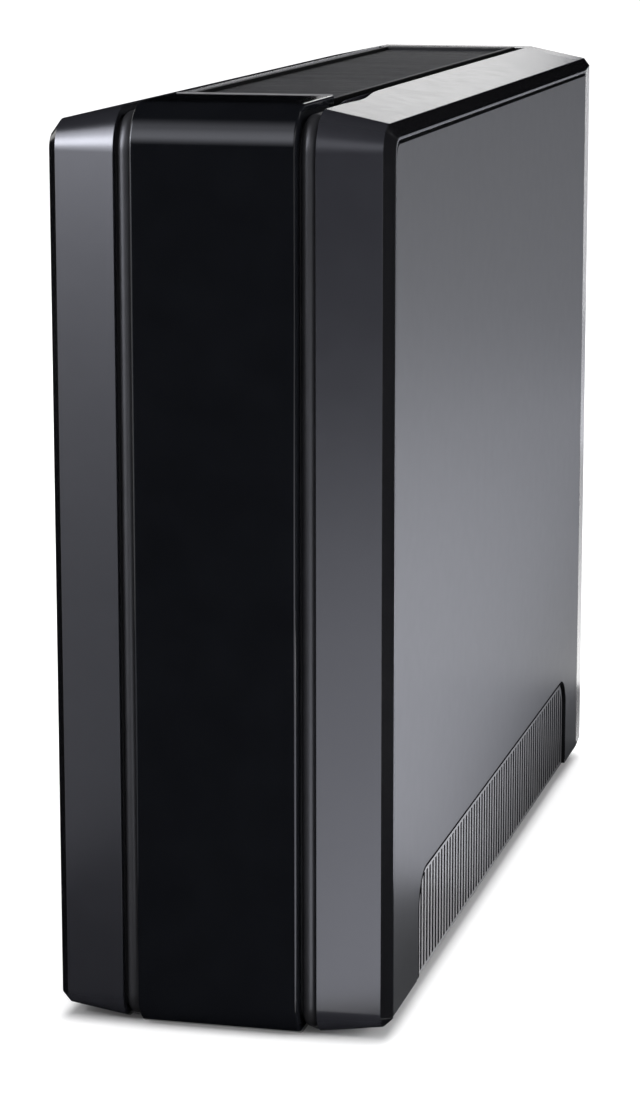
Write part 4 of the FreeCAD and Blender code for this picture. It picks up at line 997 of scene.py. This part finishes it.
    @staticmethod
    def seen(tree: bpy.types.NodeTree) -> Socket:
        """Mark what the camera sees, straight, mirrored or through glass.

        Args:
            tree: The node tree to add to.

        Returns:
            1 for those rays and 0 for the others.
        """
        path = tree.nodes.new("ShaderNodeLightPath")
        total = path.outputs["Is Camera Ray"]
        for kind in ("Is Glossy Ray", "Is Transmission Ray"):
            either = tree.nodes.new("ShaderNodeMath")
            either.operation = "MAXIMUM"
            tree.links.new(total, either.inputs[0])
            tree.links.new(path.outputs[kind], either.inputs[1])
            total = either.outputs["Value"]
        return total

    def build_floor(self) -> None:
        """Lay the floor: a pale matt sheet that is lifted towards white for the rays that the camera sees.

        The lift dips close to the base: a painted contact shadow.
        """
        half = self.floor_half
        mesh = bpy.data.meshes.new("studio_floor")
        corners = [(-half, -half, 0), (half, -half, 0), (half, half, 0), (-half, half, 0)]
        mesh.from_pydata(corners, [], [(0, 1, 2, 3)])
        floor = bpy.data.objects.new("studio_floor", mesh)
        bpy.context.scene.collection.objects.link(floor)
        graph = Graph("studio_paper")
        sockets = graph.shader.inputs
        sockets["Roughness"].default_value = 0.9
        sockets["Specular IOR Level"].default_value = 0.0
        mottle = graph.noise(self.floor_mottle_mm, 3.0)
        graph.link(graph.between(mottle, self.floor_shade, self.floor_colour), sockets["Base Color"])
        lift = graph.mapped(graph.length(graph.point), (0.0, self.near_lift), (self.far_away, self.far_lift))
        past = [graph.math("DIVIDE", graph.math("SUBTRACT", graph.math("ABSOLUTE", place), base), reach)
                for place, base, reach in zip(graph.axes(graph.point), self.footprint, self.painted_shadow_reach)]
        edge = graph.length(graph.vector(*(graph.math("MAXIMUM", side, 0.0) for side in past)))
        painted_shadow = graph.mapped(edge, (0.0, self.painted_shadow_depth), (1.0, 0.0))
        lift = graph.math("SUBTRACT", lift, painted_shadow)
        sockets["Emission Color"].default_value = (1.0, 1.0, 1.0, 1.0)
        graph.link(graph.math("MULTIPLY", self.seen(graph.tree), lift), sockets["Emission Strength"])
        mesh.materials.append(graph.material)

    def build_world(self) -> None:
        """Surround the scene with white for the rays that the camera sees and a plain level for the rest."""
        world = bpy.data.worlds.new("studio_white")
        world.use_nodes = True
        tree = world.node_tree
        level = tree.nodes.new("ShaderNodeMapRange")
        level.inputs["To Min"].default_value = self.ambient
        level.inputs["To Max"].default_value = 1.0
        tree.links.new(self.seen(tree), level.inputs["Value"])
        background = tree.nodes["Background"]
        background.inputs["Color"].default_value = (1.0, 1.0, 1.0, 1.0)
        tree.links.new(level.outputs["Result"], background.inputs["Strength"])
        bpy.context.scene.world = world

    def build_camera(self) -> None:
        """Stand the camera at the photograph's angle."""
        data = bpy.data.cameras.new("photo_camera")
        data.lens = self.lens
        data.sensor_width = self.sensor
        data.clip_end = 4 * self.floor_half
        camera = bpy.data.objects.new("photo_camera", data)
        camera.location = self.camera_place
        angles = (90 - self.camera_pitch, self.camera_roll, self.camera_yaw)
        camera.rotation_euler = Euler([math.radians(a) for a in angles])
        bpy.context.scene.collection.objects.link(camera)
        bpy.context.scene.camera = camera

    def build(self) -> None:
        """Set up floor, surroundings, lights, cards and camera."""
        self.build_floor()
        self.build_world()
        for item in (*self.boxes, *self.cards):
            item.build()
        self.build_camera()
        bpy.context.scene.view_settings.view_transform = "Standard"


def main() -> None:
    """Build the dressed pack and its studio."""
    logging.basicConfig(level=logging.INFO, format="%(name)s %(message)s")
    housing, rear = Housing(), RearFace()
    housing.build_lip()
    housing.build_vent_lines()
    rear.build_screws()
    for assembly in (housing, rear, BatteryBay(), Feet()):
        assembly.dress()
    Studio().build()


if __name__ == "__main__":
    main()
